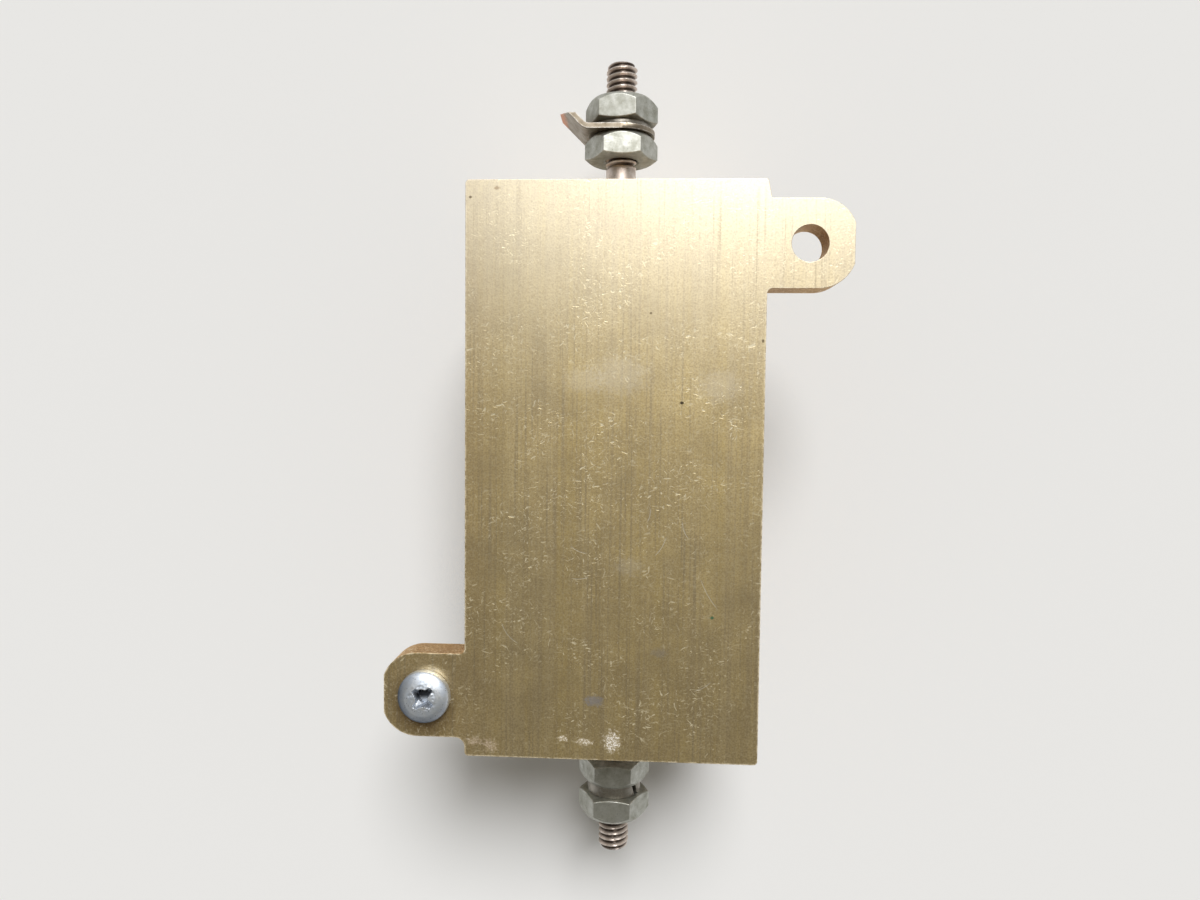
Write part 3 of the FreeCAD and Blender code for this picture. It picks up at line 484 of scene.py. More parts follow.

# %% [markdown]
# Now the marks that belong to this very part, and one painted shadow. Each line gives a centre and half sizes
# in millimetres, how ragged it is, how strong, and its colour.

# %% The gold skin: placed stains, rubbed spots and a painted shadow
placed_stains_and_shadow = [
    (10.36, 11.08, 0.30, 0.24, 0.30, 0.95, (0.050, 0.038, 0.025)),
    (22.28, 20.46, 0.22, 0.30, 0.30, 0.80, (0.080, 0.055, 0.030)),
    (-21.96, 41.82, 0.28, 0.22, 0.30, 0.80, (0.090, 0.060, 0.030)),
    (5.51, 24.54, 0.18, 0.18, 0.30, 0.80, (0.090, 0.060, 0.030)),
    (-17.93, 43.15, 0.50, 0.30, 0.40, 0.55, (0.260, 0.150, 0.070)),
    (15.44, -21.65, 0.34, 0.26, 0.35, 0.85, (0.035, 0.230, 0.130)),
    (-2.48, -35.10, 1.50, 0.85, 0.50, 0.60, (0.420, 0.420, 0.500)),
    (7.45, -27.29, 1.20, 0.80, 0.45, 0.30, (0.400, 0.380, 0.400)),
    (0.38, -41.49, 1.30, 1.80, 0.55, 1.00, (1.000, 0.940, 0.860)),
    (-3.97, -41.63, 1.40, 0.60, 0.60, 0.90, (0.980, 0.900, 0.780)),
    (-7.25, -41.11, 0.80, 0.50, 0.60, 0.90, (0.980, 0.900, 0.780)),
    (-21.20, -42.05, 1.30, 0.70, 0.75, 0.50, (0.880, 0.720, 0.640)),
    (-18.60, -42.60, 1.20, 0.90, 0.75, 0.55, (0.880, 0.720, 0.640)),
    (0.95, 15.21, 4.40, 3.00, 0.45, 0.24, (0.900, 0.830, 0.680)),
    (16.02, 13.54, 3.40, 2.60, 0.45, 0.22, (0.900, 0.830, 0.680)),
    (-4.35, 14.41, 3.20, 2.00, 0.45, 0.20, (0.900, 0.830, 0.680)),
    # Painted shadow: a dark brown ring round the ear screw's foot, set below and left of the head where its shadow
    # falls.
    (-29.20, -36.35, 4.90, 5.30, 0.10, 0.82, (0.130, 0.065, 0.025)),
    (2.68, -14.07, 2.40, 1.60, 0.50, 0.18, (0.860, 0.800, 0.680)),
]
rubbed = dirt_and_painted_shadow = 0.0
for x, y, half_x, half_y, ragged, strength, colour in placed_stains_and_shadow:
    spot = use_group(
        gold_tree,
        placed_spot,
        {
            "Place": gold_place,
            "Centre": (x * MM, y * MM, 0.0),
            "Half Width": half_x * MM,
            "Half Height": half_y * MM,
            "Ragged": ragged,
            "Speckle": 0.70 if ragged > 0.52 else 0.0,
        },
    )["Mask"]
    on_base = calc(gold_tree, "MULTIPLY", calc(gold_tree, "MULTIPLY", spot, upward), strength)
    gold_tone = blend(gold_tree, on_base, gold_tone, rgb(*colour))
    if ragged > 0.52:
        rubbed = calc(gold_tree, "MAXIMUM", rubbed, on_base)
    # Dark placed marks, the stains and the painted shadow round the screw, also take away the coat.
    elif sum(colour) < 0.5:
        dirt_and_painted_shadow = calc(gold_tree, "MAXIMUM", dirt_and_painted_shadow, on_base)
print("placed stains:", len(placed_stains_and_shadow))

# %% The gold skin: placed curved scratches
placed_scratches = [
    (-15.94, -25.10, 40.0, 5.0, 2.2),
    (-4.83, -16.09, 95.0, 4.0, 1.4),
    (7.67, -10.88, 150.0, 6.0, 1.8),
    (10.97, -8.36, 20.0, 3.5, 1.5),
    (14.26, -32.56, 120.0, 5.0, 1.6),
    (-5.18, -11.76, 65.0, 4.5, 1.5),
    (5.77, -6.01, 170.0, 3.0, 1.2),
    (14.70, -18.10, 30.0, 14.0, 2.8),
]
drawn = None
for x, y, turn, bend, half_length in placed_scratches:
    towards = Vector((math.cos(math.radians(turn)), math.sin(math.radians(turn))))
    centre = (x * MM + towards.x * bend * MM, y * MM + towards.y * bend * MM, 0.0)
    arc = use_group(
        gold_tree,
        placed_scratch,
        {
            "Place": gold_place,
            "Centre": centre,
            "Middle": (x * MM, y * MM, 0.0),
            "Bend": bend * MM,
            "Half Length": half_length * MM,
            "Width": 0.09 * MM,
        },
    )["Mask"]
    drawn = arc if drawn is None else calc(gold_tree, "MAXIMUM", drawn, arc)
drawn = calc(gold_tree, "MULTIPLY", drawn, upward)
gold_tone = blend(gold_tree, calc(gold_tree, "MULTIPLY", drawn, 0.8), gold_tone, rgb(0.900, 0.850, 0.720))
print("placed scratches:", len(placed_scratches))

# %% [markdown]
# Tone alone looks painted. A scratch is also smoother or rougher than what is round it, and it is cut in, so
# the same masks feed the roughness and the bump. Freshly torn metal scatters light to all sides, so where it
# is scratched or rubbed the skin mirrors less and shows a paler tone of its own.

# %% The gold skin: roughness, height and end saw marks
gold_rough = ramp(gold_tree, gold_grain["Mottle"], 0.0, 1.0, 0.41, 0.48)
gold_rough = calc(gold_tree, "ADD", gold_rough, ramp(gold_tree, gold_grain["Grain"], 0.3, 0.7, -0.03, 0.05))
gold_rough = calc(gold_tree, "ADD", gold_rough, calc(gold_tree, "MULTIPLY", all_scratches, -0.08))
wall_rough = calc(gold_tree, "MULTIPLY", calc(gold_tree, "SUBTRACT", 1.0, upward), 0.12)
gold_tree.links.new(calc(gold_tree, "ADD", gold_rough, wall_rough), gold_shader.inputs["Roughness"])

end_face = ramp(gold_tree, calc(gold_tree, "ABSOLUTE", facing_parts[1]), 0.80, 0.97)
saw_place = add_node(
    gold_tree, "ShaderNodeVectorMath", {0: gold_place, 1: (0.06, 1.0, 1.0)}, operation="MULTIPLY"
).outputs[0]
saw_marks = add_node(
    gold_tree, "ShaderNodeTexNoise", {"Vector": saw_place, "Scale": 3600.0, "Detail": 3.0}
).outputs[0]
skin_height = calc(gold_tree, "MULTIPLY", fine_lines, 0.45)
skin_height = calc(gold_tree, "ADD", skin_height, calc(gold_tree, "MULTIPLY", gold_grain["Grain"], 0.55))
skin_height = calc(gold_tree, "SUBTRACT", skin_height, calc(gold_tree, "MULTIPLY", all_scratches, 0.50))
skin_height = calc(gold_tree, "SUBTRACT", skin_height, calc(gold_tree, "MULTIPLY", drawn, 0.60))
saw_height = calc(gold_tree, "MULTIPLY", calc(gold_tree, "MULTIPLY", saw_marks, end_face), 1.4)
bump(gold_tree, gold_shader, calc(gold_tree, "ADD", skin_height, saw_height), 0.000020, 0.8)
gold_tree.links.new(gold_tone, gold_shader.inputs["Base Color"])
pale = calc(gold_tree, "MAXIMUM", calc(gold_tree, "MULTIPLY", all_scratches, 0.34), calc(gold_tree, "MULTIPLY", rubbed, 0.80))
edge_up = ramp(gold_tree, facing_parts[2], 0.20, 0.60, 0.0, 0.80)
pale = calc(gold_tree, "MAXIMUM", pale, calc(gold_tree, "MULTIPLY", gold_edge_wear_and_highlight, edge_up))
gold_tree.links.new(calc(gold_tree, "SUBTRACT", 1.0, pale), gold_shader.inputs["Metallic"])
# The coat is taken away under the dark stains and under the painted shadow round the ear screw.
clear = calc(gold_tree, "SUBTRACT", 1.0, dirt_and_painted_shadow)
gold_tree.links.new(
    calc(gold_tree, "MULTIPLY", calc(gold_tree, "MULTIPLY", upward, clear), 0.85), gold_shader.inputs["Coat Weight"]
)
print("finished skin:", len(gold_tree.nodes), "nodes")

# %% [markdown]
# Studs, nuts and washers are plated brass or steel that has gone dull: a grey olive silver, browner where the
# plating is thin, brighter where a spanner rubbed the corners. They share one recipe with different numbers.

# %% A recipe for dull plated metal
def plated_metal(name, bright, dull, rim, roughness, scratch=0.5, nicks=0.5):
    """Old plating: bright where clean, dull where stained, and rim where the edges are rubbed."""
    material, tree, shader, place = start_material(name, 1.0, roughness, bright)
    skin = use_group(
        tree, grain_and_mottle, {"Place": place, "Grain Size": 9000.0, "Mottle Size": 620.0, "Speck Size": 3200.0}
    )
    tone = blend(tree, skin["Mottle"], rgb(*dull), rgb(*bright))
    tone = blend(tree, calc(tree, "MULTIPLY", skin["Specks"], nicks), tone, rgb(*[c * 0.45 for c in dull]))
    lines = use_group(tree, random_scratches, {"Place": place, "Size": 1900.0, "Amount": scratch})["Mask"]
    tone = blend(tree, lines, tone, rgb(*[min(1.0, c * 1.25) for c in bright]))
    edge = use_group(
        tree, worn_edges, {"Place": place, "Width": 0.00030, "Noise Size": 2400.0, "Amount": 0.85}
    )["Mask"]
    tree.links.new(blend(tree, edge, tone, rgb(*rim)), shader.inputs["Base Color"])
    rough = ramp(tree, skin["Mottle"], 0.0, 1.0, roughness + 0.08, roughness - 0.05)
    rough = calc(tree, "ADD", rough, calc(tree, "MULTIPLY", edge, -0.08))
    tree.links.new(calc(tree, "SUBTRACT", 1.0, calc(tree, "MULTIPLY", edge, 0.35)), shader.inputs["Metallic"])
    tree.links.new(rough, shader.inputs["Roughness"])
    height = calc(tree, "ADD", skin["Grain"], calc(tree, "MULTIPLY", skin["Mottle"], 0.8))
    height = calc(tree, "SUBTRACT", height, calc(tree, "MULTIPLY", lines, 0.5))
    bump(tree, shader, height, 0.000012, 0.9)
    return material


def darken_roots(material, axis_x, axis_z, root, crest, colour):
    """Grime in the roots of a thread that runs along y: the nearer the axis, the darker."""
    tree = material.node_tree
    shader = tree.nodes["Principled BSDF"]
    parts = add_node(tree, "ShaderNodeSeparateXYZ", {0: tree.nodes["Texture Coordinate"].outputs["Object"]}).outputs
    across = calc(tree, "SUBTRACT", parts[0], axis_x)
    up = calc(tree, "SUBTRACT", parts[2], axis_z)
    squares = calc(tree, "ADD", calc(tree, "MULTIPLY", across, across), calc(tree, "MULTIPLY", up, up))
    grime = ramp(tree, calc(tree, "SQRT", squares), root, crest, 0.92, 0.0)
    threaded = calc(tree, "GREATER_THAN", calc(tree, "ABSOLUTE", parts[1]), 0.0515)
    share = calc(tree, "MULTIPLY", grime, threaded)
    clean = shader.inputs["Base Color"].links[0].from_socket
    tree.links.new(blend(tree, share, clean, rgb(*colour)), shader.inputs["Base Color"])


nut_metal = plated_metal("dull_nut_plating", (0.540, 0.545, 0.510), (0.330, 0.330, 0.280), (0.860, 0.850, 0.800), 0.52)
stud_metal = plated_metal("stud_plating", (0.760, 0.680, 0.620), (0.520, 0.430, 0.370), (0.880, 0.830, 0.780), 0.47)
washer_metal = plated_metal("washer_plating", (0.400, 0.375, 0.330), (0.230, 0.210, 0.180), (0.620, 0.600, 0.550), 0.44)
screw_metal = plated_metal(
    "screw_plating", (0.830, 0.870, 0.920), (0.560, 0.620, 0.710), (0.830, 0.840, 0.870), 0.50, nicks=0.95
)
stud_axis = (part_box("terminal_stud_top")[0].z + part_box("terminal_stud_top")[1].z) / 2
darken_roots(stud_metal, 0.0, stud_axis, 0.00218, 0.00246, (0.045, 0.028, 0.018))
print("plated metals: 4, thread roots darkened")

# %% [markdown]
# The screw head has two darkened places, both painted shade: the torn recess, whose floor light hardly
# reaches and whose upper half, towards the top terminal, is painted darker still, and the foot of the dome on
# its lower left side, painted dark and bluish as shade and as a dark reflection, on the side away from the lamp.
# Height over the ear finds both, and the distance from the screw's axis tells them apart.

# %% Painted shade in the screw's recess and round its foot
screw_low, screw_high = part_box("ear_screw")
screw_tree = screw_metal.node_tree
screw_shader = screw_tree.nodes["Principled BSDF"]
screw_place = screw_tree.nodes["Texture Coordinate"].outputs["Object"]
screw_parts = add_node(screw_tree, "ShaderNodeSeparateXYZ", {0: screw_place}).outputs
screw_off_x = calc(screw_tree, "SUBTRACT", screw_parts[0], (screw_low.x + screw_high.x) / 2)
screw_off_y = calc(screw_tree, "SUBTRACT", screw_parts[1], (screw_low.y + screw_high.y) / 2)
screw_reach = calc(
    screw_tree, "SQRT",
    calc(
        screw_tree, "ADD",
        calc(screw_tree, "MULTIPLY", screw_off_x, screw_off_x),
        calc(screw_tree, "MULTIPLY", screw_off_y, screw_off_y),
    ),
)
# Painted shade inside the recess, darker on its upper half, towards the top terminal.
near_axis = ramp(screw_tree, screw_reach, 0.0026, 0.0029, 1.0, 0.0)
below_rim = ramp(screw_tree, screw_parts[2], base_z + 0.0012, base_z + 0.0021, 1.0, 0.0)
far_half = ramp(screw_tree, screw_off_y, -0.0005, 0.0001, 0.35, 1.0)
recess_painted_shade = calc(screw_tree, "MULTIPLY", calc(screw_tree, "MULTIPLY", near_axis, below_rim), far_half)
# Painted shade and dark reflection on the lower left side of the dome's foot, away from the lamp.
low_side = ramp(screw_tree, calc(screw_tree, "ADD", screw_off_x, screw_off_y), -0.0030, 0.0035, 1.0, 0.0)
foot = calc(
    screw_tree, "MULTIPLY", calc(screw_tree, "MULTIPLY", calc(screw_tree, "SUBTRACT", 1.0, near_axis), low_side),
    ramp(screw_tree, screw_parts[2], base_z + 0.0014, base_z + 0.00245, 0.94, 0.0, smooth=True),
)
screw_clean = screw_shader.inputs["Base Color"].links[0].from_socket
screw_foot_shaded = blend(screw_tree, foot, screw_clean, rgb(0.045, 0.062, 0.090))
screw_tree.links.new(
    blend(screw_tree, calc(screw_tree, "MULTIPLY", recess_painted_shade, 0.95), screw_foot_shaded, rgb(0.030, 0.032, 0.038)),
    screw_shader.inputs["Base Color"],
)
print("screw grime:", len(screw_tree.nodes), "nodes")

# %% [markdown]
# The solder tag is tinned brass that someone cut and bent. Tin hides the brass everywhere except at the cut,
# where reddish metal shows. The cut is the tag's far end, so its place in x decides where the red begins.

# %% The tinned tag
tag_metal = plated_metal(
    "tinned_tag", (0.330, 0.285, 0.225), (0.185, 0.150, 0.105), (0.760, 0.740, 0.690), 0.42, scratch=0.7
)
tag_tree = tag_metal.node_tree
tag_shader = tag_tree.nodes["Principled BSDF"]
tag_place = tag_tree.nodes["Texture Coordinate"].outputs["Object"]
tag_x = add_node(tag_tree, "ShaderNodeSeparateXYZ", {0: tag_place}).outputs[0]
tag_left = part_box("terminal_lug")[0].x
cut_noise = add_node(
    tag_tree, "ShaderNodeTexNoise", {"Vector": tag_place, "Scale": 1800.0, "Detail": 3.0}
).outputs[0]
cut_reach = calc(tag_tree, "ADD", tag_x, calc(tag_tree, "MULTIPLY", calc(tag_tree, "SUBTRACT", cut_noise, 0.5), 0.0012))
cut_mask = ramp(tag_tree, cut_reach, tag_left + 0.0007, tag_left + 0.0015, 1.0, 0.0)
tinned_tone = tag_shader.inputs["Base Color"].links[0].from_socket
tag_tree.links.new(
    blend(tag_tree, cut_mask, tinned_tone, rgb(0.560, 0.230, 0.110)), tag_shader.inputs["Base Color"]
)
print("tag's cut end at x, mm:", round(tag_left / MM, 2))

# %% [markdown]
# The pieces inside the housing are never seen in the photograph, but they get what such a resistor has: a
# fired ceramic rod, a close layer of bright resistance wire, pressed steel caps, grey filling and pale moulded
# seals. The wire's turns are drawn as a fine wave along y.

# %% Materials of the inner pieces
def plain_moulded(name, light, dark, roughness, grain_size, height):
    """A matt moulded or fired body with a cloudy tone and a fine grain."""
    material, tree, shader, place = start_material(name, 0.0, roughness, light)
    skin = use_group(
        tree,
        grain_and_mottle,
        {"Place": place, "Grain Size": grain_size, "Mottle Size": 240.0, "Speck Size": 1800.0},
    )
    tone = blend(tree, skin["Mottle"], rgb(*dark), rgb(*light))
    tone = blend(tree, calc(tree, "MULTIPLY", skin["Specks"], 0.35), tone, rgb(*[c * 0.6 for c in dark]))
    tree.links.new(tone, shader.inputs["Base Color"])
    tree.links.new(ramp(tree, skin["Grain"], 0.3, 0.7, roughness - 0.06, roughness + 0.06), shader.inputs["Roughness"])
    bump(tree, shader, skin["Grain"], height, 0.8)
    return material


ceramic = plain_moulded("fired_ceramic", (0.830, 0.800, 0.720), (0.720, 0.680, 0.590), 0.62, 5200.0, 0.00003)
filling = plain_moulded("grey_filling", (0.420, 0.400, 0.370), (0.300, 0.285, 0.260), 0.70, 4200.0, 0.00005)
seal_mould = plain_moulded("seal_moulding", (0.560, 0.530, 0.470), (0.430, 0.400, 0.350), 0.55, 6500.0, 0.00002)
cap_metal = plated_metal("cap_steel", (0.620, 0.620, 0.600), (0.480, 0.480, 0.470), (0.700, 0.700, 0.690), 0.32)

wire, wire_tree, wire_shader, wire_place = start_material("resistance_wire", 1.0, 0.30, (0.55, 0.52, 0.48))
wire_y = add_node(wire_tree, "ShaderNodeSeparateXYZ", {0: wire_place}).outputs[1]
wire_turn = calc(wire_tree, "FRACT", calc(wire_tree, "DIVIDE", wire_y, 0.0005))
wire_round = calc(wire_tree, "SINE", calc(wire_tree, "MULTIPLY", wire_turn, math.pi))
wire_skin = use_group(
    wire_tree, grain_and_mottle,
    {"Place": wire_place, "Grain Size": 8000.0, "Mottle Size": 300.0, "Speck Size": 2600.0},
)
# Painted shade in the gaps between the wire's turns and a painted highlight on their crowns, from the same wave that
# makes the bump.
wire_tone = blend(wire_tree, wire_round, rgb(0.20, 0.18, 0.16), rgb(0.60, 0.56, 0.51))
wire_tone = blend(wire_tree, calc(wire_tree, "MULTIPLY", wire_skin["Mottle"], 0.3), wire_tone, rgb(0.48, 0.40, 0.33))
wire_tree.links.new(wire_tone, wire_shader.inputs["Base Color"])
wire_tree.links.new(ramp(wire_tree, wire_skin["Mottle"], 0, 1, 0.26, 0.38), wire_shader.inputs["Roughness"])
bump(wire_tree, wire_shader, wire_round, 0.0002, 0.9)
print("inner materials: 5")

# %% [markdown]
# A CAD solid has perfectly sharp edges, and no real part does. A copy of the solid is merged, because the
# frame's triangles are loose, its flat faces are joined into one each, and a Bevel modifier rounds the edges
# by a fraction of a millimetre. Those small rounds catch the light, which is most of what reads as metal.

# %% A helper that dresses a copy of a solid
def keep_plain(name, meshes_object):
    """Applies the modifiers of an object into a plain mesh."""
    graph = bpy.context.evaluated_depsgraph_get()
    mesh = bpy.data.meshes.new_from_object(meshes_object.evaluated_get(graph))
    mesh.name = name
    meshes_object.modifiers.clear()
    meshes_object.data = mesh
    return meshes_object


def round_and_flatten(piece, width, segments, angle):
    """Rounds the sharp edges, keeps the flat faces flat in the light, and leaves a plain mesh."""
    rounding = piece.modifiers.new("rounding", "BEVEL")
    rounding.width = width
    rounding.segments = segments
    rounding.limit_method = "ANGLE"
    rounding.angle_limit = math.radians(angle)
    rounding.miter_outer = "MITER_ARC"
    rounding.harden_normals = True
    flatten = piece.modifiers.new("flat faces stay flat", "WEIGHTED_NORMAL")
    flatten.weight = 100
    flatten.keep_sharp = True
    keep_plain(piece.name, piece)


def rounded_copy(node, name, width, material, segments=2, angle=32.0):
    """A merged copy of a CAD node with rounded edges, which then stands for the node."""
    shape = bmesh.new()
    shape.from_mesh(nodes[node].data)
    bmesh.ops.remove_doubles(shape, verts=shape.verts, dist=0.000002)
    bmesh.ops.dissolve_limit(
        shape, angle_limit=math.radians(0.6), verts=shape.verts, edges=shape.edges
    )
    mesh = bpy.data.meshes.new(name)
    shape.to_mesh(mesh)
    shape.free()
    mesh.materials.clear()
    mesh.materials.append(material)
    mesh.shade_smooth()
    copy = bpy.data.objects.new(name, mesh)
    bpy.context.scene.collection.objects.link(copy)
    round_and_flatten(copy, width, segments, angle)
    for face in copy.data.polygons:
        face.material_index = 0
    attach(copy, "root")
    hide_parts(node)
    return copy


print("rounding helper ready")

# %% [markdown]
# The housing first. Its rounds are a quarter of a millimetre, as tumbling before anodising leaves them.

# %% The housing
housing = rounded_copy("housing", "housing_dressed", 0.00028, gold)
print("housing faces:", len(housing.data.polygons))

# %% [markdown]
# Washers and the tag are dressed the same way with smaller rounds.

# %% Washers and the tag
for node, width, material, slot in [
    ("spring_washer_top", 0.00012, washer_metal, "plated_washer"),
    ("lock_washer_bottom", 0.00018, washer_metal, "plated_washer"),
    ("ear_screw_washer", 0.00012, washer_metal, "plated_washer"),
    ("terminal_lug", 0.00012, tag_metal, "tinned_tag"),
]:
    rounded_copy(node, node + "_dressed", width, material)

# %% [markdown]
# The five nuts follow one rule: a hexagon whose corners a cone has cut away at both ends. Geometry Nodes can
# hold that rule in one tree. A grid is wrapped round the axis, its columns go round the hexagon and its eight
# rows run once round the section: seat, flat, crown, bore.

# %% The nut tree
def build_nut_tree():
    tree = bpy.data.node_groups.new("hexagon_nut", "GeometryNodeTree")
    for title, kind, value in [
        ("Across Flats", "NodeSocketFloat", 0.01111),
        ("Thickness", "NodeSocketFloat", 0.0042),
        ("Bore Radius", "NodeSocketFloat", 0.00275),
        ("Bore Chamfer", "NodeSocketFloat", 0.0003),
        ("Crown Radius", "NodeSocketFloat", 0.00505),
        ("Crown Depth", "NodeSocketFloat", 0.00135),
        ("Seat Radius", "NodeSocketFloat", 0.0054),
        ("Seat Depth", "NodeSocketFloat", 0.0005),
        ("Around", "NodeSocketInt", 145),
        ("Finish", "NodeSocketMaterial", None),
    ]:
        socket = tree.interface.new_socket(name=title, in_out="INPUT", socket_type=kind)
        if value is not None:
            socket.default_value = value
    tree.interface.new_socket(name="Geometry", in_out="OUTPUT", socket_type="NodeSocketGeometry")
    given = tree.nodes.new("NodeGroupInput").outputs
    result = tree.nodes.new("NodeGroupOutput").inputs
    grid = add_node(
        tree, "GeometryNodeMeshGrid",
        {"Size X": 1.0, "Size Y": 1.0, "Vertices X": given["Around"], "Vertices Y": 9},
    ).outputs["Mesh"]
    flat = add_node(tree, "ShaderNodeSeparateXYZ", {0: add_node(tree, "GeometryNodeInputPosition").outputs[0]}).outputs
    angle = calc(tree, "MULTIPLY", calc(tree, "ADD", flat[0], 0.5), 2.0 * math.pi)
    row = calc(tree, "ROUND", calc(tree, "MULTIPLY", calc(tree, "ADD", flat[1], 0.5), 8.0))
    sixth = calc(tree, "FRACT", calc(tree, "ADD", calc(tree, "DIVIDE", angle, math.pi / 3.0), 0.00001))
    from_flat = calc(tree, "MULTIPLY", calc(tree, "SUBTRACT", sixth, 0.5), math.pi / 3.0)
    half_flats = calc(tree, "MULTIPLY", given["Across Flats"], 0.5)
    corner = calc(tree, "DIVIDE", half_flats, math.cos(math.pi / 6.0))
    side = calc(tree, "DIVIDE", half_flats, calc(tree, "COSINE", from_flat))

    def cone(depth, radius):
        """How far the cone cuts down the side at this angle."""
        over = calc(tree, "DIVIDE", calc(tree, "SUBTRACT", side, radius), calc(tree, "SUBTRACT", corner, radius))
        return calc(tree, "MULTIPLY", depth, over)

    bore = given["Bore Radius"]
    mouth = calc(tree, "ADD", bore, given["Bore Chamfer"])
    top = given["Thickness"]
    under_top = calc(tree, "SUBTRACT", top, given["Bore Chamfer"])
    low = cone(given["Seat Depth"], given["Seat Radius"])
    high = calc(tree, "SUBTRACT", top, cone(given["Crown Depth"], given["Crown Radius"]))
    section = [
        (bore, given["Bore Chamfer"]), (mouth, 0.0), (given["Seat Radius"], 0.0), (side, low),
        (side, high), (given["Crown Radius"], top), (mouth, top), (bore, under_top),
        (bore, given["Bore Chamfer"]),
    ]
    radius = height = 0.0
    for index, (reach, level) in enumerate(section):
        here = calc(tree, "COMPARE", row, float(index), 0.1)
        radius = calc(tree, "ADD", radius, calc(tree, "MULTIPLY", here, reach))
        height = calc(tree, "ADD", height, calc(tree, "MULTIPLY", here, level))
    place = add_node(
        tree, "ShaderNodeCombineXYZ",
        {
            0: calc(tree, "MULTIPLY", radius, calc(tree, "COSINE", angle)),
            1: calc(tree, "MULTIPLY", radius, calc(tree, "SINE", angle)),
            2: height,
        },
    ).outputs[0]
    wrapped = add_node(tree, "GeometryNodeSetPosition", {"Geometry": grid, "Position": place}).outputs[0]
    closed = add_node(tree, "GeometryNodeMergeByDistance", {"Geometry": wrapped, "Distance": 0.000001}).outputs[0]
    real = add_node(tree, "GeometryNodeRealizeInstances", {"Geometry": closed}).outputs[0]
    painted = add_node(tree, "GeometryNodeSetMaterial", {"Geometry": real, "Material": given["Finish"]}).outputs[0]
    tree.links.new(painted, result["Geometry"])
    return tree


nut_tree = build_nut_tree()
print("nut tree:", len(nut_tree.nodes), "nodes")

# %% [markdown]
# Nobody types the nuts' sizes again: they are measured on the solids. The farthest vertex from the axis gives
# the corners and the turn, the nearest gives the bore, and the ends give the thickness and the crown.

# %% A helper that runs a tree and one that measures a nut
def run_tree(name, tree, sizes):
    """A plain mesh object from a Geometry Nodes tree with these inputs, its faces pointing out."""
    made = bpy.data.objects.new(name, bpy.data.meshes.new(name))
    bpy.context.scene.collection.objects.link(made)
    maker = made.modifiers.new("maker", "NODES")
    maker.node_group = tree
    for socket in tree.interface.items_tree:
        if socket.in_out == "INPUT" and socket.name in sizes:
            maker[socket.identifier] = sizes[socket.name]
    keep_plain(name, made)
    shape = bmesh.new()
    shape.from_mesh(made.data)
    bmesh.ops.recalc_face_normals(shape, faces=shape.faces)
    shape.to_mesh(made.data)
    shape.free()
    made.data.shade_smooth()
    return made


def measure_nut(node, outward):
    """Sizes of a CAD nut and the matrix that carries a nut made along z to its place."""
    low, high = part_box(node)
    middle = (low + high) / 2
    half = abs((high - low).dot(outward)) / 2
    seat = middle - outward * half
    side = Vector((1.0, 0.0, 0.0))
    frame_axes = Matrix((side, outward.cross(side), outward)).transposed()
    local = [frame_axes.transposed() @ (v.co - seat) for v in nodes[node].data.vertices]
    reach = [math.hypot(p.x, p.y) for p in local]
    corner = max(reach)
    far = local[reach.index(corner)]
    sizes = {
        "Across Flats": corner * math.sqrt(3.0),
        "Thickness": 2 * half,
        "Bore Radius": min(reach),
        "Crown Radius": max(r for r, p in zip(reach, local) if p.z > 2 * half - 0.00001),
        "Crown Depth": 2 * half - max(p.z for r, p in zip(reach, local) if r > corner - 0.00002),
        "Seat Radius": corner * math.cos(math.pi / 6) * 0.97,
        "Seat Depth": 0.00045,
        "Finish": nut_metal,
    }
    spin = Matrix.Rotation(math.atan2(far.y, far.x), 4, "Z")
    return sizes, Matrix.Translation(seat) @ frame_axes.to_4x4() @ spin


print("nut helpers ready")

# %% The five nuts
nut_directions = {
    "inner_nut_top": Vector((0.0, 1.0, 0.0)),
    "outer_nut_top": Vector((0.0, 1.0, 0.0)),
    "inner_nut_bottom": Vector((0.0, -1.0, 0.0)),
    "outer_nut_bottom": Vector((0.0, -1.0, 0.0)),
    "ear_screw_nut": Vector((0.0, 0.0, -1.0)),
}
for node, outward in nut_directions.items():
    nut_sizes, nut_place = measure_nut(node, outward)
    nut = run_tree(node + "_dressed", nut_tree, nut_sizes)
    nut.data.transform(nut_place)
    round_and_flatten(nut, 0.00013, 2, 28.0)
    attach(nut, "root")
    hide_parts(node)
    print(node, "crown mm:", round(nut_sizes["Crown Depth"] / MM, 2), "faces:", len(nut.data.polygons))

# %% [markdown]
# A screw thread is the clearest case for Geometry Nodes: one rule makes the whole surface. A flat grid is
# wrapped round an axis, and the radius of each point depends on how far along the helix it lies. The sizes
# are inputs of the tree, so the same tree makes both studs and the ear screw's shank.

# %% The tree's inputs
def thread_inputs(tree):
    """Names the sizes of a threaded rod as inputs of the tree."""
    wanted = [
        ("Start", "NodeSocketFloat", 0.0332),
        ("Thread Start", "NodeSocketFloat", 0.0516),
        ("End", "NodeSocketFloat", 0.06975),
        ("Neck Radius", "NodeSocketFloat", 0.0026),
        ("Crest Radius", "NodeSocketFloat", 0.0027),
        ("Root Radius", "NodeSocketFloat", 0.0022),
        ("Pitch", "NodeSocketFloat", 0.001058),
        ("Tip Chamfer", "NodeSocketFloat", 0.0005),
        ("Rows", "NodeSocketInt", 180),
        ("Around", "NodeSocketInt", 56),
        ("Seed", "NodeSocketInt", 3),
        ("Finish", "NodeSocketMaterial", None),
    ]
    for title, kind, value in wanted:
        socket = tree.interface.new_socket(name=title, in_out="INPUT", socket_type=kind)
        if value is not None:
            socket.default_value = value
    tree.interface.new_socket(name="Geometry", in_out="OUTPUT", socket_type="NodeSocketGeometry")
    return [title for title, kind, value in wanted]


print("thread inputs are named")

# %% [markdown]
# The first and last rows of the grid shrink to the axis, which closes both ends. The second row starts the
# smooth neck, and the rest are spread over the thread, ten to a pitch, so its flanks stay crisp. A little
# seeded noise dents the crests, because an old thread is never even.

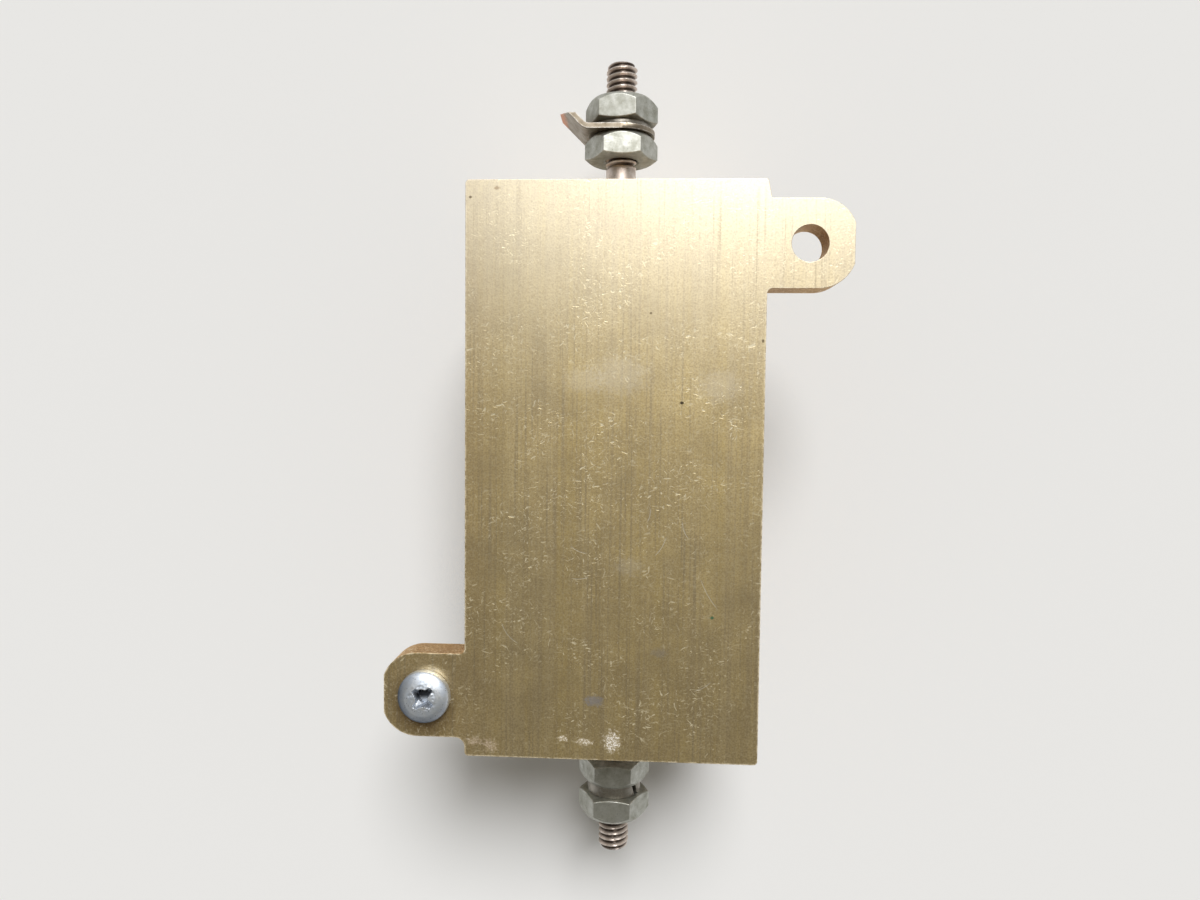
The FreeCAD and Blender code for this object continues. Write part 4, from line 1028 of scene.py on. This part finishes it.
# %% The threaded rod tree
def build_thread_tree():
    tree = bpy.data.node_groups.new("threaded_rod", "GeometryNodeTree")
    thread_inputs(tree)
    given = tree.nodes.new("NodeGroupInput").outputs
    result = tree.nodes.new("NodeGroupOutput").inputs
    grid = add_node(
        tree, "GeometryNodeMeshGrid",
        {"Size X": 1.0, "Size Y": 1.0, "Vertices X": given["Around"], "Vertices Y": given["Rows"]},
    ).outputs["Mesh"]
    flat = add_node(tree, "ShaderNodeSeparateXYZ", {0: add_node(tree, "GeometryNodeInputPosition").outputs[0]}).outputs
    angle = calc(tree, "MULTIPLY", calc(tree, "ADD", flat[0], 0.5), 2.0 * math.pi)
    last = calc(tree, "SUBTRACT", given["Rows"], 1.0)
    row = calc(tree, "ROUND", calc(tree, "MULTIPLY", calc(tree, "ADD", flat[1], 0.5), last))
    thread_rows = calc(tree, "SUBTRACT", last, 3.0)
    step = calc(tree, "MINIMUM", calc(tree, "SUBTRACT", row, 2.0), thread_rows)
    share = calc(tree, "DIVIDE", step, thread_rows)
    reach = calc(tree, "SUBTRACT", given["End"], given["Thread Start"])
    threaded = calc(tree, "ADD", given["Thread Start"], calc(tree, "MULTIPLY", share, reach))
    on_neck = calc(tree, "LESS_THAN", row, 1.5)
    along = add_node(tree, "ShaderNodeMix", {0: on_neck, 2: threaded, 3: given["Start"]}, data_type="FLOAT").outputs[0]
    helix = calc(tree, "SUBTRACT", calc(tree, "DIVIDE", along, given["Pitch"]), calc(tree, "DIVIDE", angle, 2.0 * math.pi))
    phase = calc(tree, "FRACT", calc(tree, "ADD", helix, 1000.0))
    flank = calc(tree, "MULTIPLY", calc(tree, "ABSOLUTE", calc(tree, "SUBTRACT", phase, 0.5)), 2.0)
    rise = ramp(tree, flank, 0.20, 0.86)
    sine = calc(tree, "SINE", angle)
    cosine = calc(tree, "COSINE", angle)
    around = add_node(tree, "ShaderNodeCombineXYZ", {0: sine, 1: calc(tree, "MULTIPLY", along, 700.0), 2: cosine}).outputs[0]
    shifted = add_node(
        tree, "ShaderNodeVectorMath",
        {0: around, 1: add_node(tree, "ShaderNodeCombineXYZ", {0: given["Seed"]}).outputs[0]},
        operation="ADD",
    ).outputs[0]
    dents = add_node(tree, "ShaderNodeTexNoise", {"Vector": shifted, "Scale": 1.3, "Detail": 2.0}).outputs[0]
    crest = calc(tree, "SUBTRACT", given["Crest Radius"], ramp(tree, dents, 0.5, 0.8, 0.0, 0.00012))
    full = add_node(tree, "ShaderNodeMix", {0: rise, 2: given["Root Radius"], 3: crest}, data_type="FLOAT").outputs[0]
    into = calc(tree, "DIVIDE", calc(tree, "SUBTRACT", along, given["Thread Start"]), given["Pitch"], clamp=True)
    cut = add_node(tree, "ShaderNodeMix", {0: into, 2: given["Neck Radius"], 3: full}, data_type="FLOAT").outputs[0]
    tip = calc(tree, "ADD", calc(tree, "SUBTRACT", given["Crest Radius"], given["Tip Chamfer"]), calc(tree, "SUBTRACT", given["End"], along))
    trimmed = calc(tree, "MINIMUM", cut, tip)
    inside = calc(tree, "MULTIPLY", calc(tree, "GREATER_THAN", row, 0.5), calc(tree, "LESS_THAN", row, calc(tree, "SUBTRACT", last, 0.5)))
    radius = calc(tree, "MULTIPLY", trimmed, inside)
    place = add_node(
        tree, "ShaderNodeCombineXYZ",
        {0: calc(tree, "MULTIPLY", radius, sine), 1: along, 2: calc(tree, "MULTIPLY", radius, cosine)},
    ).outputs[0]
    wrapped = add_node(tree, "GeometryNodeSetPosition", {"Geometry": grid, "Position": place}).outputs[0]
    closed = add_node(tree, "GeometryNodeMergeByDistance", {"Geometry": wrapped, "Distance": 0.000001}).outputs[0]
    real = add_node(tree, "GeometryNodeRealizeInstances", {"Geometry": closed}).outputs[0]
    painted = add_node(tree, "GeometryNodeSetMaterial", {"Geometry": real, "Material": given["Finish"]}).outputs[0]
    tree.links.new(painted, result["Geometry"])
    return tree


thread_tree = build_thread_tree()
print("thread tree:", len(thread_tree.nodes), "nodes")

# %% [markdown]
# A tree does nothing until a modifier runs it. Its inputs are set by the socket's identifier before the
# object is first evaluated, then the result is taken as a plain mesh.

# %% A helper that makes one threaded rod
def threaded_rod(name, turn, sizes):
    """A threaded rod on the y axis, moved to its place by the matrix turn."""
    rod = run_tree(name, thread_tree, sizes)
    rod.data.transform(turn)
    rod.data.set_sharp_from_angle(angle=math.radians(34.0))
    return rod


print("rod helper ready")

# %% The two terminal studs
stud_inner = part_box("terminal_stud_top")[0].y
stud_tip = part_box("terminal_stud_top")[1].y
stud_sizes = {
    "Start": stud_inner,
    "End": stud_tip,
    "Thread Start": 0.0516,
    "Neck Radius": 0.0026,
    "Crest Radius": 0.0027,
    "Root Radius": 0.0021,
    "Pitch": 0.001058,
    "Tip Chamfer": 0.0005,
    "Rows": 200,
    "Around": 56,
    "Seed": 3,
    "Finish": stud_metal,
}
to_axis = Matrix.Translation((0.0, 0.0, stud_axis))
half_turn = Matrix.Rotation(math.pi, 4, "Z")
for node, turn, seed in (
    ("terminal_stud_top", to_axis, 3),
    ("terminal_stud_bottom", to_axis @ half_turn, 8),
):
    stud = threaded_rod(node + "_threaded", turn, {**stud_sizes, "Seed": seed})
    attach(stud, "root")
    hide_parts(node)
    print(stud.name, "faces:", len(stud.data.polygons))

# %% [markdown]
# The ear screw has a domed head with a cross recess that a slipping driver has torn. That is a height over a
# round outline: a dome, less a cross whose walls are pushed about by noise, plus small raised burrs. The head
# is a polar grid, finest near its middle, and the shank comes from the thread tree.

# %% The shape of the screw head
head_low, head_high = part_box("ear_screw")
screw_x = (head_low.x + head_high.x) / 2
screw_y = (head_low.y + head_high.y) / 2
head_radius = (head_high.x - head_low.x) / 2
head_top = head_high.z
head_seat = base_z
head_side = 0.0010
head_rise = head_top - head_seat - 0.00001
recess_turn = math.radians(50.0)
recess_middle = Vector((0.00008, 0.00010))


def recess_depth(x, y):
    """Depth of the torn cross recess at a point measured from the screw's axis."""
    warp = noise.noise_vector(Vector((x, y, 0.0)) * 900.0) * 0.00022
    local = Vector((x + warp.x, y + warp.y)) - recess_middle
    a = local.x * math.cos(recess_turn) + local.y * math.sin(recess_turn)
    b = -local.x * math.sin(recess_turn) + local.y * math.cos(recess_turn)
    depth = 0.0
    for run, side in ((a, b), (b, a)):
        width = 0.00072 - 0.16 * abs(run)
        wall = min(1.0, max(0.0, (width - abs(side)) / 0.00016))
        floor_depth = 0.00190 * max(0.0, 1.0 - abs(run) / 0.00195) ** 0.55
        depth = max(depth, wall * floor_depth)
    well = min(1.0, max(0.0, (0.00105 - local.length) / 0.00022))
    torn = min(1.0, max(0.0, (0.00095 - math.hypot(local.x, local.y - 0.00060)) / 0.00020))
    return max(depth, 0.00195 * well, 0.00180 * torn)


def head_height(x, y):
    """Height of the head over its seat at a point measured from the screw's axis."""
    share = min(1.0, math.hypot(x, y) / head_radius)
    dome = head_side + (head_rise - head_side) * math.sqrt(max(0.0, 1.0 - share ** 2.2))
    local = Vector((x, y)) - recess_middle
    rim = math.exp(-((local.length - 0.00185) / 0.00050) ** 2)
    burr = noise.noise(Vector((x, y, 0.3)) * 2300.0) * 0.00010 * rim
    return dome - recess_depth(x, y) + min(burr, head_rise - dome)


print("head radius and rise, mm:", round(head_radius / MM, 2), round((head_top - head_seat) / MM, 2))

# %% The screw head and its shank
rings, spokes = 54, 120
head_shape = bmesh.new()
middle = head_shape.verts.new((screw_x, screw_y, head_seat + head_height(0.0, 0.0)))
loops = []
for ring in range(1, rings + 1):
    reach = head_radius * (ring / rings) ** 0.9
    loops.append([
        head_shape.verts.new((
            screw_x + reach * math.cos(2 * math.pi * k / spokes),
            screw_y + reach * math.sin(2 * math.pi * k / spokes),
            head_seat + head_height(reach * math.cos(2 * math.pi * k / spokes), reach * math.sin(2 * math.pi * k / spokes)),
        ))
        for k in range(spokes)
    ])
for low, reach in ((0.00012, head_radius), (0.0, head_radius - 0.00012)):
    loops.append([
        head_shape.verts.new((
            screw_x + reach * math.cos(2 * math.pi * k / spokes),
            screw_y + reach * math.sin(2 * math.pi * k / spokes),
            head_seat + low,
        ))
        for k in range(spokes)
    ])
under = head_shape.verts.new((screw_x, screw_y, head_seat))
for k in range(spokes):
    after = (k + 1) % spokes
    head_shape.faces.new((middle, loops[0][k], loops[0][after]))
    for inner, outer in zip(loops, loops[1:]):
        head_shape.faces.new((inner[k], outer[k], outer[after], inner[after]))
    head_shape.faces.new((under, loops[-1][after], loops[-1][k]))
bmesh.ops.recalc_face_normals(head_shape, faces=head_shape.faces)

screw_turn = Matrix.Translation((screw_x, screw_y, head_seat + 0.0002)) @ Matrix.Rotation(-math.pi / 2, 4, "X")
shank = threaded_rod(
    "shank", screw_turn,
    {
        "Start": 0.0, "End": head_seat + 0.0002 - head_low.z, "Thread Start": 0.0014,
        "Neck Radius": 0.00200, "Crest Radius": 0.00208, "Root Radius": 0.00170, "Pitch": 0.000794,
        "Tip Chamfer": 0.0004, "Rows": 130, "Around": 40, "Seed": 5, "Finish": screw_metal,
    },
)
head_shape.from_mesh(shank.data)
screw_mesh = bpy.data.meshes.new("ear_screw_threaded")
head_shape.to_mesh(screw_mesh)
head_shape.free()
bpy.data.objects.remove(shank)
screw_mesh.materials.append(screw_metal)
for face in screw_mesh.polygons:
    face.material_index = 0
ear_screw = bpy.data.objects.new("ear_screw_threaded", screw_mesh)
bpy.context.scene.collection.objects.link(ear_screw)
screw_mesh.shade_smooth()
screw_mesh.set_sharp_from_angle(angle=math.radians(50.0))
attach(ear_screw, "root")
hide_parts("ear_screw")
print("screw faces:", len(screw_mesh.polygons))

# %% [markdown]
# The pieces inside keep their CAD shape, which is right as it is, and only get their finish.

# %% Finish of the inner pieces
for node, material in {
    "ceramic_core": ceramic,
    "resistance_winding": wire,
    "end_cap_top": cap_metal,
    "end_cap_bottom": cap_metal,
    "potting": filling,
    "end_seal_top": seal_mould,
    "end_seal_bottom": seal_mould,
}.items():
    nodes[node].data.materials.clear()
    nodes[node].data.materials.append(material)
print("inner pieces finished: 7")

# %% [markdown]
# The floor is a plain pale sheet under the fins. It is pale by its own colour, not by more light, so the part
# keeps its depth, its soft shadow lies on it, and the metal mirrors the same floor that the camera sees.

# %% Floor
floor_mesh = bpy.data.meshes.new("floor")
floor_shape = bmesh.new()
bmesh.ops.create_grid(floor_shape, x_segments=1, y_segments=1, size=3.0, matrix=Matrix.Translation((0, 0, -0.00002)))
floor_shape.to_mesh(floor_mesh)
floor_shape.free()
floor = bpy.data.objects.new("floor", floor_mesh)
bpy.context.scene.collection.objects.link(floor)
paper, paper_tree, paper_shader, paper_place = start_material("pale_paper", 0.0, 0.9, (0.78, 0.78, 0.78))
paper_shader.inputs["Specular IOR Level"].default_value = 0.1
floor_mesh.materials.append(paper)
print("floor a hair under z = 0, so the foot face stays clear of it")
